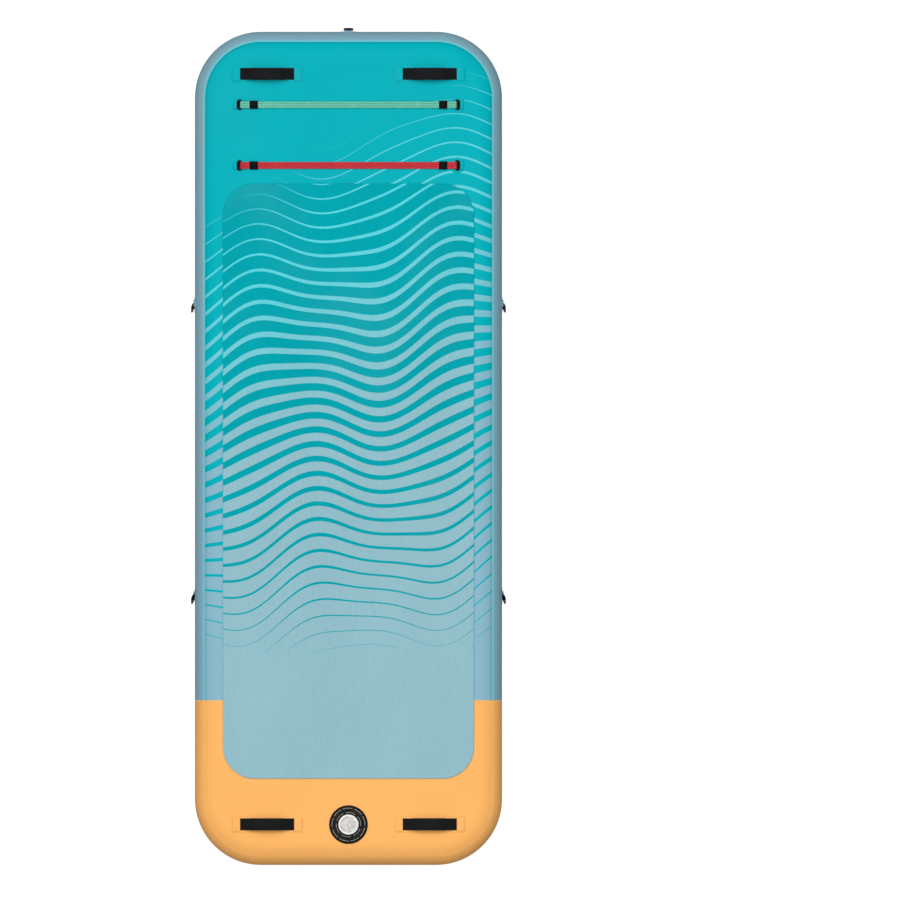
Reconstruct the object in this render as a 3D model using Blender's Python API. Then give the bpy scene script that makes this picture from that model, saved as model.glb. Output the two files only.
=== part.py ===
"""Inflatable floating fitness platform, as separate named pieces.

Metres, +Z up. The board lies flat with its deck up and its nose towards +Y. The origin is on the ground
under the middle of the board, level with the underside of the carry handle.
"""

import math

import bmesh
import bpy
from mathutils import Matrix, Vector

for left_over in list(bpy.data.objects):
    bpy.data.objects.remove(left_over, do_unlink=True)

# Board
BOARD_LENGTH = 2.5
BOARD_WIDTH = 0.9215
BOARD_THICKNESS = 0.15
CORNER_RADIUS = 0.198
SKIN_THICKNESS = 0.0009
RAIL_BAND_THICKNESS = 0.0011
RAIL_BAND_DECK_ANGLE = math.radians(37.8)
RAIL_BAND_HULL_ANGLE = math.radians(139)
TAIL_SEAM_FROM_TAIL = 0.494
FIT_GAP = 0.0003
CUT_OVERRUN = 0.004

# Drop-stitch core
CLOTH_THICKNESS = 0.0006
CLOTH_MARGIN = 0.012
YARN_WIDTH = 0.003
YARNS_ACROSS = 6
YARNS_ALONG = 12

# Deck pad
PAD_SIDE_MARGIN = 0.08425
PAD_FROM_NOSE = 0.456
PAD_FROM_TAIL = 0.259
PAD_CORNER_RADIUS = 0.095
PAD_THICKNESS = 0.005
PAD_EDGE_BEVEL = 0.0015

# Soft handles
HANDLE_RISE = 0.030
HANDLE_FROM_SIDE = 0.21675
HANDLE_FROM_NOSE = 0.1263
HANDLE_FROM_TAIL = 0.1218
STRAP_WIDTH = 0.0355
STRAP_THICKNESS = 0.0018
BOW_LENGTH = 0.144
FOOT_LENGTH = 0.030
GRIP_LENGTH = 0.096
GRIP_WIDTH = 0.0395
GRIP_THICKNESS = 0.0105
GRIP_CHAMFER = 0.003
HANDLE_PATCH_MARGIN = 0.00725
HANDLE_PATCH_SHEET = 0.0009
POCKET_MOUTH_GAP = 0.008
POCKET_END_GAP = 0.002
POCKET_ROOF = 0.0009
POCKET_END_WALL = 0.004

# Rings, their webbing loops and the glued patches under them
WIRE_RADIUS = 0.002
WIRE_CLEARANCE = 0.0003
RAIL_RING_DEPTH = 0.014
BAND_RING_DEPTH = 0.0095
RING_BAR_CORNER = 0.0032
RING_FAR_CORNER = 0.005
RAIL_RING_WIDTH = 0.030
BAND_RING_WIDTH = 0.032
RAIL_WEBBING_WIDTH = 0.019
BAND_WEBBING_SIDE_ROOM = 0.001
LOOP_WEBBING_THICKNESS = 0.0015
LOOP_TAIL = 0.019
TAB_PATCH_SHEET = 0.0009
TAB_SINK = 0.0002
RAIL_PATCH_RADIUS = 0.024
BAND_PATCH_RADIUS = 0.025
RAIL_PATCH_SHIFT = 0.007
BAND_PATCH_SHIFT = -0.004
RAIL_RING_FROM_NOSE = 0.8246
RAIL_RING_FROM_TAIL = 0.8012
RAIL_RING_TURN = math.radians(45)
RAIL_RING_TILT = math.radians(20)

# Resistance bands
GREEN_BAND_FROM_NOSE = 0.219
RED_BAND_FROM_NOSE = 0.401
BAND_RING_FROM_SIDE = 0.12975
BAND_WIDTH = 0.0205
BAND_THICKNESS = 0.0012
BAND_HEIGHT = 0.00405
BAND_LOOP_RISE = 0.0053
BAND_LOOP_REACH = 0.0034
BAND_STUB = 0.024
SLIDER_FROM_RING = 0.0468
SLIDER_LENGTH = 0.025
SLIDER_WALL = 0.0016
SLIDER_SLOT = 0.003
SLIDER_CENTRE_BAR = 0.008
SLIDER_OUTWARD_ROOM = 0.005

# Inflation valve, its heights measured from the deck
VALVE_FROM_TAIL = 0.121
SURROUND_RADIUS = 0.058
SURROUND_BORE = 0.0342
SURROUND_HEIGHT = 0.0046
SURROUND_EDGE = 0.0036
SURROUND_LINE_RADII = (0.0495, 0.0366)
SURROUND_LINE_WIDTH = 0.0012
SURROUND_LINE_HEIGHT = 0.0005
FLANGE_RADIUS = 0.0338
FLANGE_HEIGHT = 0.0029
COLLAR_RADIUS = 0.0270
COLLAR_HEIGHT = 0.0140
BARREL_RADIUS = 0.0240
BORE_RADIUS = 0.0205
BARREL_DEPTH = 0.036
SEAT_RADIUS = 0.0125
SEAT_THICKNESS = 0.003
GUIDE_TOP = -0.0115
GUIDE_THICKNESS = 0.0035
GUIDE_ARM_WIDTH = 0.004
GUIDE_HUB_RADIUS = 0.0075
STEM_RADIUS = 0.003
STEM_CLEARANCE = 0.0003
BUTTON_RADIUS = 0.0068
BUTTON_TOP = 0.0112
BUTTON_THICKNESS = 0.0032
STEM_FOOT_RADIUS = 0.0070
STEM_FOOT_THICKNESS = 0.0025
SEAL_RADIUS = 0.0160
SEAL_THICKNESS = 0.0025
SPRING_RADIUS = 0.0052
SPRING_WIRE_RADIUS = 0.0005
SPRING_TURNS = 5
NUT_RADIUS = 0.0320
NUT_THICKNESS = 0.0080
NUT_CHAMFER = 0.0010
NUT_CLEARANCE = 0.0003
GASKET_WALL = 0.0034
GASKET_THICKNESS = 0.0020
CAP_RADIUS = 0.0305
CAP_HEIGHT = 0.0220
CAP_WALL = 0.0027
CAP_SHOULDER = 0.0045
CAP_DOME = 0.0012

# How finely round shapes are divided
CORNER_STEPS = 8
RAIL_STEPS = 8
LAP_STEPS = 3
TURN_STEPS = 32
SMALL_TURN_STEPS = 16
BOW_STEPS = 18
RING_CORNER_STEPS = 3
LOOP_STEPS = 8
SPRING_STEPS = 10

# Sizes that follow from those above
NOSE_Y = BOARD_LENGTH / 2
TAIL_Y = -BOARD_LENGTH / 2
SIDE_X = BOARD_WIDTH / 2
TAIL_SEAM_Y = TAIL_Y + TAIL_SEAM_FROM_TAIL
PAD_NOSE_Y = NOSE_Y - PAD_FROM_NOSE
PAD_TAIL_Y = TAIL_Y + PAD_FROM_TAIL
PAD_HALF_WIDTH = SIDE_X - PAD_SIDE_MARGIN
HANDLE_X = SIDE_X - HANDLE_FROM_SIDE
NOSE_HANDLE_Y = NOSE_Y - HANDLE_FROM_NOSE
TAIL_HANDLE_Y = TAIL_Y + HANDLE_FROM_TAIL
POCKET_OPENING = BOW_LENGTH + 2 * POCKET_MOUTH_GAP
POCKET_END = BOW_LENGTH / 2 + FOOT_LENGTH + POCKET_END_GAP
HANDLE_PATCH_LENGTH = 2 * (POCKET_END + POCKET_END_WALL)
HANDLE_PATCH_WIDTH = STRAP_WIDTH + 2 * HANDLE_PATCH_MARGIN
RAIL_RING_YS = (NOSE_Y - RAIL_RING_FROM_NOSE, TAIL_Y + RAIL_RING_FROM_TAIL)
BAND_YS = {"green": NOSE_Y - GREEN_BAND_FROM_NOSE, "red": NOSE_Y - RED_BAND_FROM_NOSE}
BAND_RING_X = SIDE_X - BAND_RING_FROM_SIDE
SLIDER_X = BAND_RING_X - SLIDER_FROM_RING
BAND_WEBBING_WIDTH = BAND_RING_WIDTH - 2 * (2 * WIRE_RADIUS + BAND_WEBBING_SIDE_ROOM)
VALVE_Y = TAIL_Y + VALVE_FROM_TAIL
SKIN_RADIUS = BOARD_THICKNESS / 2
RAIL_STEP = (RAIL_BAND_HULL_ANGLE - RAIL_BAND_DECK_ANGLE) / RAIL_STEPS
RAIL_INNER_RADIUS = SKIN_RADIUS + FIT_GAP
RAIL_RADIUS = RAIL_INNER_RADIUS + RAIL_BAND_THICKNESS
HULL_Z = HANDLE_RISE
DECK_Z = HULL_Z + BOARD_THICKNESS
RAIL_Z = HULL_Z + SKIN_RADIUS
LOOP_RADIUS = WIRE_RADIUS + WIRE_CLEARANCE + LOOP_WEBBING_THICKNESS
BAR_HEIGHT = FIT_GAP + TAB_PATCH_SHEET + LOOP_RADIUS - TAB_SINK
STRAP_FOOT_Z = FIT_GAP + HANDLE_PATCH_SHEET + FIT_GAP + STRAP_THICKNESS / 2
BAND_FOLD_LOW = FIT_GAP + TAB_PATCH_SHEET + FIT_GAP + BAND_THICKNESS / 2
BAND_FOLD_HIGH = BAR_HEIGHT + BAND_LOOP_RISE
BAND_FOLD_MIDDLE = (BAND_FOLD_LOW + BAND_FOLD_HIGH) / 2
BAND_RING_TILT = math.asin((BAND_FOLD_MIDDLE - BAR_HEIGHT) / BAND_RING_DEPTH)
POCKET_CEILING = STRAP_FOOT_Z + STRAP_THICKNESS / 2 + FIT_GAP


def material(name, colour, roughness, metallic=0.0):
    made = bpy.data.materials.new(name)
    made.use_nodes = True
    shader = made.node_tree.nodes["Principled BSDF"]
    shader.inputs["Base Color"].default_value = (*colour, 1.0)
    shader.inputs["Roughness"].default_value = roughness
    shader.inputs["Metallic"].default_value = metallic
    made.diffuse_color = (*colour, 1.0)
    return made


def add_object(name, bm, finish, place=None):
    """A named object from a bmesh whose points are in its own frame, set down by the matrix place."""
    bmesh.ops.recalc_face_normals(bm, faces=bm.faces)
    mesh = bpy.data.meshes.new(name)
    bm.to_mesh(mesh)
    bm.free()
    mesh.materials.append(finish)
    mesh.shade_smooth()
    mesh.set_sharp_from_angle(angle=math.radians(35))
    made = bpy.data.objects.new(name, mesh)
    bpy.context.scene.collection.objects.link(made)
    if place is not None:
        made.matrix_world = place
    return made


def add_helper(name, bm, place=None):
    """A shape that only serves a Boolean."""
    made = add_object(name, bm, FINISHES["helper"], place)
    made.hide_render = True
    made.display_type = "WIRE"
    return made


def boolean(target, helper, operation):
    modifier = target.modifiers.new(f"{operation.lower()} {helper.name}", "BOOLEAN")
    modifier.operation = operation
    modifier.object = helper
    modifier.solver = "EXACT"


def loft(rings, closed_round=True, closed_along=False):
    """A skin over rings of points, with a flat cap on the first and the last ring unless they join."""
    bm = bmesh.new()
    rows = [[bm.verts.new(point) for point in ring] for ring in rings]
    count = len(rows[0])
    pairs = list(zip(rows, rows[1:]))
    if closed_along:
        pairs.append((rows[-1], rows[0]))
    for low, high in pairs:
        for i in range(count if closed_round else count - 1):
            j = (i + 1) % count
            bm.faces.new((low[i], low[j], high[j], high[i]))
    if not closed_along:
        bm.faces.new(rows[0])
        bm.faces.new(rows[-1])
    return bm


def turned(profile, steps, closed=True):
    """A profile of (radius, height) points spun round the Z axis. An open one starts and ends on the axis."""
    bm = bmesh.new()
    points = [bm.verts.new((radius, 0, height)) for radius, height in profile]
    edges = [bm.edges.new(pair) for pair in zip(points, points[1:])]
    if closed:
        edges.append(bm.edges.new((points[-1], points[0])))
    bmesh.ops.spin(
        bm,
        geom=points + edges,
        axis=(0, 0, 1),
        cent=(0, 0, 0),
        angle=math.tau,
        steps=steps,
        use_merge=True,
    )
    bmesh.ops.remove_doubles(bm, verts=bm.verts, dist=FIT_GAP / TURN_STEPS)
    return bm


def box(low, high):
    bm = bmesh.new()
    bmesh.ops.create_cube(bm, size=1)
    low = Vector(low)
    high = Vector(high)
    bmesh.ops.scale(bm, vec=high - low, verts=bm.verts)
    bmesh.ops.translate(bm, vec=(low + high) / 2, verts=bm.verts)
    return bm


def block_solid(xs, ys, zs, filled):
    """The outside of the filled cells of a grid whose lines are at xs, ys and zs."""
    bm = bmesh.new()
    corners = {}

    def corner(i, j, k):
        if (i, j, k) not in corners:
            corners[i, j, k] = bm.verts.new((xs[i], ys[j], zs[k]))
        return corners[i, j, k]

    def solid(i, j, k):
        inside = 0 <= i < len(xs) - 1 and 0 <= j < len(ys) - 1 and 0 <= k < len(zs) - 1
        return inside and filled(i, j, k)

    for i in range(len(xs) - 1):
        for j in range(len(ys) - 1):
            for k in range(len(zs) - 1):
                if not solid(i, j, k):
                    continue
                for side in (0, 1):
                    step = 2 * side - 1
                    if not solid(i + step, j, k):
                        face = [(i + side, j + a, k + b) for a, b in SQUARE]
                        bm.faces.new([corner(*c) for c in face])
                    if not solid(i, j + step, k):
                        face = [(i + a, j + side, k + b) for a, b in SQUARE]
                        bm.faces.new([corner(*c) for c in face])
                    if not solid(i, j, k + step):
                        face = [(i + a, j + b, k + side) for a, b in SQUARE]
                        bm.faces.new([corner(*c) for c in face])
    return bm


def offset_path(path, distance):
    """The points beside a path in a plane, this far to its left, mitred at its corners."""
    beside = []
    for i, point in enumerate(path):
        here = Vector(point)
        before = (here - Vector(path[i - 1])).normalized() if i else None
        after = (Vector(path[i + 1]) - here).normalized() if i + 1 < len(path) else None
        before = before or after
        after = after or before
        along = (before + after).normalized()
        left = Vector((-along.y, along.x))
        beside.append(here + left * distance / along.dot(after))
    return beside


def strip(path, thickness, width):
    """Webbing along a path of (y, z) points, with its width along X."""
    left = offset_path(path, thickness / 2)
    right = offset_path(path, -thickness / 2)
    half = width / 2
    rings = [
        ((-half, a.x, a.y), (half, a.x, a.y), (half, b.x, b.y), (-half, b.x, b.y))
        for a, b in zip(left, right)
    ]
    return loft(rings)


def arc(centre, radii, start, end, steps):
    """Points on an ellipse from one angle to another."""
    angles = (start + (end - start) * i / steps for i in range(steps + 1))
    return [
        (centre[0] + radii[0] * math.cos(a), centre[1] + radii[1] * math.sin(a)) for a in angles
    ]


def frame(place, along, up):
    """The matrix of a piece whose X axis lies along one direction and whose Z axis points another way."""
    x = Vector(along).normalized()
    z = Vector(up).normalized()
    y = z.cross(x)
    turn = Matrix((x, y, z)).transposed().to_4x4()
    return Matrix.Translation(Vector(place)) @ turn


SQUARE = ((0, 0), (1, 0), (1, 1), (0, 1))

FINISHES = {
    "helper": material("helper", (0.5, 0.5, 0.5), 0.5),
    "deck_print": material("deck_print", (0.02, 0.46, 0.50), 0.42),
    "hull_sheet": material("hull_sheet", (0.01, 0.46, 0.53), 0.40),
    "rail_blue": material("rail_blue", (0.22, 0.43, 0.53), 0.42),
    "rail_orange": material("rail_orange", (0.95, 0.46, 0.12), 0.42),
    "cloth": material("cloth", (0.80, 0.80, 0.78), 0.90),
    "pad_foam": material("pad_foam", (0.12, 0.45, 0.55), 0.75),
    "patch_teal": material("patch_teal", (0.02, 0.46, 0.50), 0.45),
    "patch_orange": material("patch_orange", (0.95, 0.46, 0.12), 0.45),
    "patch_blue": material("patch_blue", (0.22, 0.43, 0.53), 0.45),
    "webbing": material("webbing", (0.012, 0.012, 0.013), 0.80),
    "padded_sleeve": material("padded_sleeve", (0.015, 0.015, 0.016), 0.70),
    "ring_plastic": material("ring_plastic", (0.010, 0.010, 0.011), 0.35),
    "band_green": material("band_green", (0.20, 0.60, 0.42), 0.70),
    "band_red": material("band_red", (0.62, 0.02, 0.03), 0.70),
    "valve_black": material("valve_black", (0.015, 0.015, 0.016), 0.40),
    "valve_grey": material("valve_grey", (0.60, 0.60, 0.61), 0.35),
    "valve_rubber": material("valve_rubber", (0.03, 0.03, 0.03), 0.70),
    "spring_steel": material("spring_steel", (0.60, 0.60, 0.62), 0.30, 1.0),
}


# Board outline

def outline_corner(inset, sign_x, sign_y):
    """One rounded corner of the outline drawn this far inside the board's edge, anticlockwise."""
    radius = CORNER_RADIUS - inset
    centre = (
        sign_x * (SIDE_X - CORNER_RADIUS),
        sign_y * (NOSE_Y - CORNER_RADIUS),
    )
    start = {(1, 1): 0, (-1, 1): 1, (-1, -1): 2, (1, -1): 3}[sign_x, sign_y] * math.pi / 2
    return arc(centre, (radius, radius), start, start + math.pi / 2, CORNER_STEPS)


def outline(inset):
    corners = ((1, 1), (-1, 1), (-1, -1), (1, -1))
    return [point for signs in corners for point in outline_corner(inset, *signs)]


def rail_point(radius, angle):
    """Inset from the board's edge, and height, of a point of the round rail. The angle runs from the deck."""
    return RAIL_RADIUS - radius * math.sin(angle), RAIL_Z + radius * math.cos(angle)


def ring_of(inset, height):
    return [(x, y, height) for x, y in outline(inset)]


# Deck and hull skins

def skin(name, flat_angle, band_angle, lap, finish):
    """A sheet that is flat in the middle, curves down to the rail band's edge and laps under it."""
    span = band_angle - flat_angle
    angles = [flat_angle + span * i / LAP_STEPS for i in range(LAP_STEPS + 1)]
    angles.append(band_angle + lap)
    outer = [ring_of(*rail_point(SKIN_RADIUS, a)) for a in angles]
    inner = [ring_of(*rail_point(SKIN_RADIUS - SKIN_THICKNESS, a)) for a in reversed(angles)]
    return add_object(name, loft(outer + inner), finish)


deck_skin = skin("deck_skin", 0, RAIL_BAND_DECK_ANGLE, RAIL_STEP, FINISHES["deck_print"])
hull_skin = skin("hull_skin", math.pi, RAIL_BAND_HULL_ANGLE, -RAIL_STEP, FINISHES["hull_sheet"])


# Rail bands

def rail_path(inset, nose):
    """The outline's open path round the nose or the tail, from seam to seam."""
    side = SIDE_X - inset
    if nose:
        seam_y = TAIL_SEAM_Y + FIT_GAP / 2
        arcs = outline_corner(inset, 1, 1) + outline_corner(inset, -1, 1)
        return [(side, seam_y), *arcs, (-side, seam_y)]
    seam_y = TAIL_SEAM_Y - FIT_GAP / 2
    arcs = outline_corner(inset, -1, -1) + outline_corner(inset, 1, -1)
    return [(-side, seam_y), *arcs, (side, seam_y)]


def rail_band(name, nose, finish):
    angles = [RAIL_BAND_DECK_ANGLE + RAIL_STEP * i for i in range(RAIL_STEPS + 1)]
    section = [rail_point(RAIL_RADIUS, a) for a in angles]
    section += [rail_point(RAIL_INNER_RADIUS, a) for a in reversed(angles)]
    paths = [[(x, y, z) for x, y in rail_path(inset, nose)] for inset, z in section]
    return add_object(name, band_shell(paths), finish)


def band_shell(paths):
    """A sheet with thickness from paths that run side by side round its section."""
    bm = bmesh.new()
    rows = [[bm.verts.new(point) for point in path] for path in paths]
    for row, following in zip(rows, rows[1:] + rows[:1]):
        for i in range(len(row) - 1):
            bm.faces.new((row[i], row[i + 1], following[i + 1], following[i]))
    half = len(rows) // 2
    for end in (0, -1):
        for i in range(half - 1):
            facing = len(rows) - 1 - i
            bm.faces.new(
                (rows[i][end], rows[i + 1][end], rows[facing - 1][end], rows[facing][end])
            )
    return bm


rail_band("rail_band_front", True, FINISHES["rail_blue"])
rail_band("rail_band_tail", False, FINISHES["rail_orange"])


# Drop-stitch core: two cloths and the yarns between them, as one body

def core_mesh():
    flat_inset = RAIL_RADIUS + CLOTH_MARGIN
    half_x = SIDE_X - flat_inset
    half_y = NOSE_Y - flat_inset
    reach = SKIN_RADIUS - SKIN_THICKNESS - FIT_GAP
    levels = [RAIL_Z + side * (reach - depth) for side, depth in CORE_LEVELS]
    corner_cut = (CORNER_RADIUS - flat_inset) * (1 - math.cos(math.pi / 4))
    bm = bmesh.new()

    def place(i, j):
        x = half_x * (2 * i / YARNS_ACROSS - 1)
        y = half_y * (2 * j / YARNS_ALONG - 1)
        if i in (0, YARNS_ACROSS) and j in (0, YARNS_ALONG):
            x -= math.copysign(corner_cut, x)
            y -= math.copysign(corner_cut, y)
        return x, y

    columns = range(YARNS_ACROSS + 1)
    rows = range(YARNS_ALONG + 1)
    grid = [{(i, j): bm.verts.new((*place(i, j), z)) for i in columns for j in rows} for z in levels]
    outer_top, inner_top, inner_low, outer_low = grid
    for i in range(YARNS_ACROSS):
        for j in range(YARNS_ALONG):
            cell = [(i + a, j + b) for a, b in SQUARE]
            bm.faces.new([outer_top[c] for c in cell])
            bm.faces.new([outer_low[c] for c in cell])
            middle_x = half_x * ((2 * i + 1) / YARNS_ACROSS - 1)
            middle_y = half_y * ((2 * j + 1) / YARNS_ALONG - 1)
            yarn = [
                (middle_x + (a - 0.5) * YARN_WIDTH, middle_y + (b - 0.5) * YARN_WIDTH)
                for a, b in SQUARE
            ]
            top = [bm.verts.new((x, y, levels[1])) for x, y in yarn]
            low = [bm.verts.new((x, y, levels[2])) for x, y in yarn]
            for k in range(4):
                m = (k + 1) % 4
                bm.faces.new((inner_top[cell[k]], inner_top[cell[m]], top[m], top[k]))
                bm.faces.new((inner_low[cell[k]], inner_low[cell[m]], low[m], low[k]))
                bm.faces.new((top[k], top[m], low[m], low[k]))
    edge = [(i, 0) for i in range(YARNS_ACROSS)]
    edge += [(YARNS_ACROSS, j) for j in range(YARNS_ALONG)]
    edge += [(i, YARNS_ALONG) for i in range(YARNS_ACROSS, 0, -1)]
    edge += [(0, j) for j in range(YARNS_ALONG, 0, -1)]
    for outer, inner in ((outer_top, inner_top), (outer_low, inner_low)):
        for here, following in zip(edge, edge[1:] + edge[:1]):
            bm.faces.new((outer[here], outer[following], inner[following], inner[here]))
    return bm


CORE_LEVELS = ((1, 0), (1, CLOTH_THICKNESS), (-1, CLOTH_THICKNESS), (-1, 0))
drop_stitch_core = add_object("drop_stitch_core", core_mesh(), FINISHES["cloth"])


# Deck pad

def deck_pad():
    centre_y = (PAD_NOSE_Y + PAD_TAIL_Y) / 2
    half = (PAD_HALF_WIDTH, (PAD_NOSE_Y - PAD_TAIL_Y) / 2)
    base = DECK_Z + FIT_GAP
    rings = []
    for height, inset in (
        (0, 0),
        (PAD_THICKNESS - PAD_EDGE_BEVEL, 0),
        (PAD_THICKNESS, PAD_EDGE_BEVEL),
    ):
        radius = PAD_CORNER_RADIUS - inset
        ring = []
        for quarter, (sign_x, sign_y) in enumerate(((1, 1), (-1, 1), (-1, -1), (1, -1))):
            centre = (
                sign_x * (half[0] - PAD_CORNER_RADIUS),
                centre_y + sign_y * (half[1] - PAD_CORNER_RADIUS),
            )
            start = quarter * math.pi / 2
            ring += arc(centre, (radius, radius), start, start + math.pi / 2, CORNER_STEPS)
        rings.append([(x, y, base + height) for x, y in ring])
    return add_object("deck_pad", loft(rings), FINISHES["pad_foam"])


deck_pad()


# Soft handles, each in a frame with its length along Y and its patch at height zero

def bow_height(along):
    top = HANDLE_RISE - GRIP_THICKNESS / 2
    return STRAP_FOOT_Z + (top - STRAP_FOOT_Z) * (1 - (2 * along / BOW_LENGTH) ** 2)


def bow_path(length):
    """The strap's middle line over this length, on the points that strap and grip share."""
    step = BOW_LENGTH / BOW_STEPS
    count = round(length / step / 2)
    return [(i * step, bow_height(i * step)) for i in range(-count, count + 1)]


def strap_mesh():
    reach = BOW_LENGTH / 2 + FOOT_LENGTH
    path = [(-reach, STRAP_FOOT_Z), *bow_path(BOW_LENGTH), (reach, STRAP_FOOT_Z)]
    return strip(path, STRAP_THICKNESS, STRAP_WIDTH)


def grip_mesh():
    """A padded sleeve with a slot for the strap, its ends open."""
    path = bow_path(GRIP_LENGTH)
    slot_width = STRAP_WIDTH + 2 * FIT_GAP
    slot_height = STRAP_THICKNESS + 2 * FIT_GAP
    slot_chamfer = FIT_GAP / 4
    outer = grip_section(GRIP_WIDTH, GRIP_THICKNESS, GRIP_CHAMFER)
    inner = grip_section(slot_width, slot_height, slot_chamfer)
    bm = bmesh.new()
    walls = []
    for section in (outer, inner):
        levels = [offset_path(path, height) for _, height in section]
        walls.append(
            [
                [bm.verts.new((x, *level[i])) for (x, _), level in zip(section, levels)]
                for i in range(len(path))
            ]
        )
    count = len(outer)
    for rows in walls:
        for row, following in zip(rows, rows[1:]):
            for k in range(count):
                m = (k + 1) % count
                bm.faces.new((row[k], row[m], following[m], following[k]))
    for end in (0, -1):
        for k in range(count):
            m = (k + 1) % count
            bm.faces.new((walls[0][end][k], walls[0][end][m], walls[1][end][m], walls[1][end][k]))
    return bm


def grip_section(width, height, chamfer):
    """Eight (x, height) points of a rectangle with cut corners."""
    x = width / 2
    z = height / 2
    right = [(x, z - chamfer), (x - chamfer, z)]
    left = [(-x + chamfer, z), (-x, z - chamfer)]
    return [*right, *left, *((a, -b) for a, b in reversed(left)), *((a, -b) for a, b in reversed(right))]


def handle_patch_mesh():
    """A glued sheet whose two thick ends are pockets for the strap's feet."""
    half_length = HANDLE_PATCH_LENGTH / 2
    pocket_side = STRAP_WIDTH / 2 + 2 * FIT_GAP
    opening = POCKET_OPENING / 2
    xs = [-HANDLE_PATCH_WIDTH / 2, -pocket_side, pocket_side, HANDLE_PATCH_WIDTH / 2]
    ys = [-half_length, -POCKET_END, -opening, opening, POCKET_END, half_length]
    floor = FIT_GAP + HANDLE_PATCH_SHEET
    zs = [FIT_GAP, floor, POCKET_CEILING, POCKET_CEILING + POCKET_ROOF]

    def filled(i, j, k):
        on_lid = j != 2
        pocket = i == 1 and j in (1, 3) and k == 1
        return k == 0 or (on_lid and not pocket)

    return block_solid(xs, ys, zs, filled)


def handle(name, place, patch_finish):
    add_object(f"{name}_patch", handle_patch_mesh(), patch_finish, place)
    add_object(f"{name}_strap", strap_mesh(), FINISHES["webbing"], place)
    add_object(f"{name}_grip", grip_mesh(), FINISHES["padded_sleeve"], place)


for side, sign in (("left", -1), ("right", 1)):
    for end, handle_y, patch in (
        ("nose", NOSE_HANDLE_Y, "patch_teal"),
        ("tail", TAIL_HANDLE_Y, "patch_orange"),
    ):
        on_deck = frame((sign * HANDLE_X, handle_y, DECK_Z), (0, -1, 0), (0, 0, 1))
        handle(f"{end}_handle_{side}", on_deck, FINISHES[patch])
handle("carry_handle", frame((0, 0, HULL_Z), (1, 0, 0), (0, 0, -1)), FINISHES["patch_teal"])


# Rings and their tabs, in a frame with the ring's bar along X and the ring reaching towards +Y

def ring_mesh(width, depth):
    """A ring of round wire whose straight bar lies on the X axis."""
    half = width / 2 - WIRE_RADIUS
    corners = (
        ((half - RING_BAR_CORNER, RING_BAR_CORNER), RING_BAR_CORNER, -math.pi / 2),
        ((half - RING_FAR_CORNER, depth - RING_FAR_CORNER), RING_FAR_CORNER, 0),
        ((RING_FAR_CORNER - half, depth - RING_FAR_CORNER), RING_FAR_CORNER, math.pi / 2),
        ((RING_BAR_CORNER - half, RING_BAR_CORNER), RING_BAR_CORNER, math.pi),
    )
    points = []
    for centre, radius, start in corners:
        points += arc(centre, (radius, radius), start, start + math.pi / 2, RING_CORNER_STEPS)
    curve = bpy.data.curves.new("ring", "CURVE")
    curve.dimensions = "3D"
    curve.bevel_depth = WIRE_RADIUS
    curve.bevel_resolution = 2
    spline = curve.splines.new("POLY")
    spline.points.add(len(points) - 1)
    for point, (x, y) in zip(spline.points, points):
        point.co = (x, y, 0, 1)
    spline.use_cyclic_u = True
    return curve


def ring(name, width, depth, place, tilt):
    """The ring's origin is on its bar, which is the axis that it swings round."""
    curve = ring_mesh(width, depth)
    curve.materials.append(FINISHES["ring_plastic"])
    made = bpy.data.objects.new(name, curve)
    bpy.context.scene.collection.objects.link(made)
    on_bar = Matrix.Translation((0, 0, BAR_HEIGHT)) @ Matrix.Rotation(tilt, 4, "X")
    made.matrix_world = place @ on_bar
    return made


def loop_path():
    """Webbing that lies on the patch, passes round the bar and comes back over itself."""
    middle = LOOP_RADIUS - LOOP_WEBBING_THICKNESS / 2
    low = LOOP_WEBBING_THICKNESS / 2
    high = low + LOOP_WEBBING_THICKNESS + FIT_GAP
    turn = arc((0, LOOP_RADIUS), (middle, middle), -math.pi / 2, math.radians(120), LOOP_STEPS)
    landing = -2 * LOOP_RADIUS
    return [(-LOOP_TAIL, low), (landing, low), *turn, (landing, high), (-LOOP_TAIL, high)]


def patch_mesh(radius, shift):
    """A thin disc under the loop, with rings of points so that it can bend."""
    top = []
    for share in PATCH_RING_SHARES:
        reach = radius * share
        circle = arc((0, shift), (reach, reach), 0, math.tau, SMALL_TURN_STEPS)[:-1]
        top.append([(x, y, FIT_GAP + TAB_PATCH_SHEET) for x, y in circle])
    low = [[(x, y, FIT_GAP) for x, y, _ in ring_points] for ring_points in reversed(top)]
    bm = loft(top + low)
    bmesh.ops.poke(bm, faces=[face for face in bm.faces if len(face.verts) > 4])
    return bm


def bend(bm, along, radius, flat_from=None):
    """Lays a flat shape on a round surface of this radius. Along is the surface's straight direction."""
    across = Vector((-along.y, along.x))
    for vert in bm.verts:
        reach = across.dot(vert.co.xy)
        share = 1.0
        if flat_from is not None:
            share = min(1.0, max(0.0, (flat_from - vert.co.y) / LOOP_RADIUS))
        drop = radius - math.sqrt(radius * radius - reach * reach)
        vert.co.z -= drop * share
    bmesh.ops.triangulate(bm, faces=bm.faces)
    return bm


def tab(name, place, patch_radius, shift, webbing_width, patch_finish, straight=None):
    """The patch and its webbing loop. Straight is the rail's straight direction in the tab's frame."""
    patch = patch_mesh(patch_radius, shift)
    webbing = strip(loop_path(), LOOP_WEBBING_THICKNESS, webbing_width)
    webbing_base = FIT_GAP + TAB_PATCH_SHEET - TAB_SINK
    bmesh.ops.translate(webbing, vec=(0, 0, webbing_base), verts=webbing.verts)
    if straight is not None:
        bend(patch, straight, RAIL_RADIUS)
        bend(webbing, straight, RAIL_RADIUS, flat_from=-LOOP_RADIUS)
    made = add_object(name, patch, patch_finish, place)
    boolean(made, add_helper(f"{name}_webbing", webbing, place), "UNION")
    return made


PATCH_RING_SHARES = (0.35, 0.7, 1.0)

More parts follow.
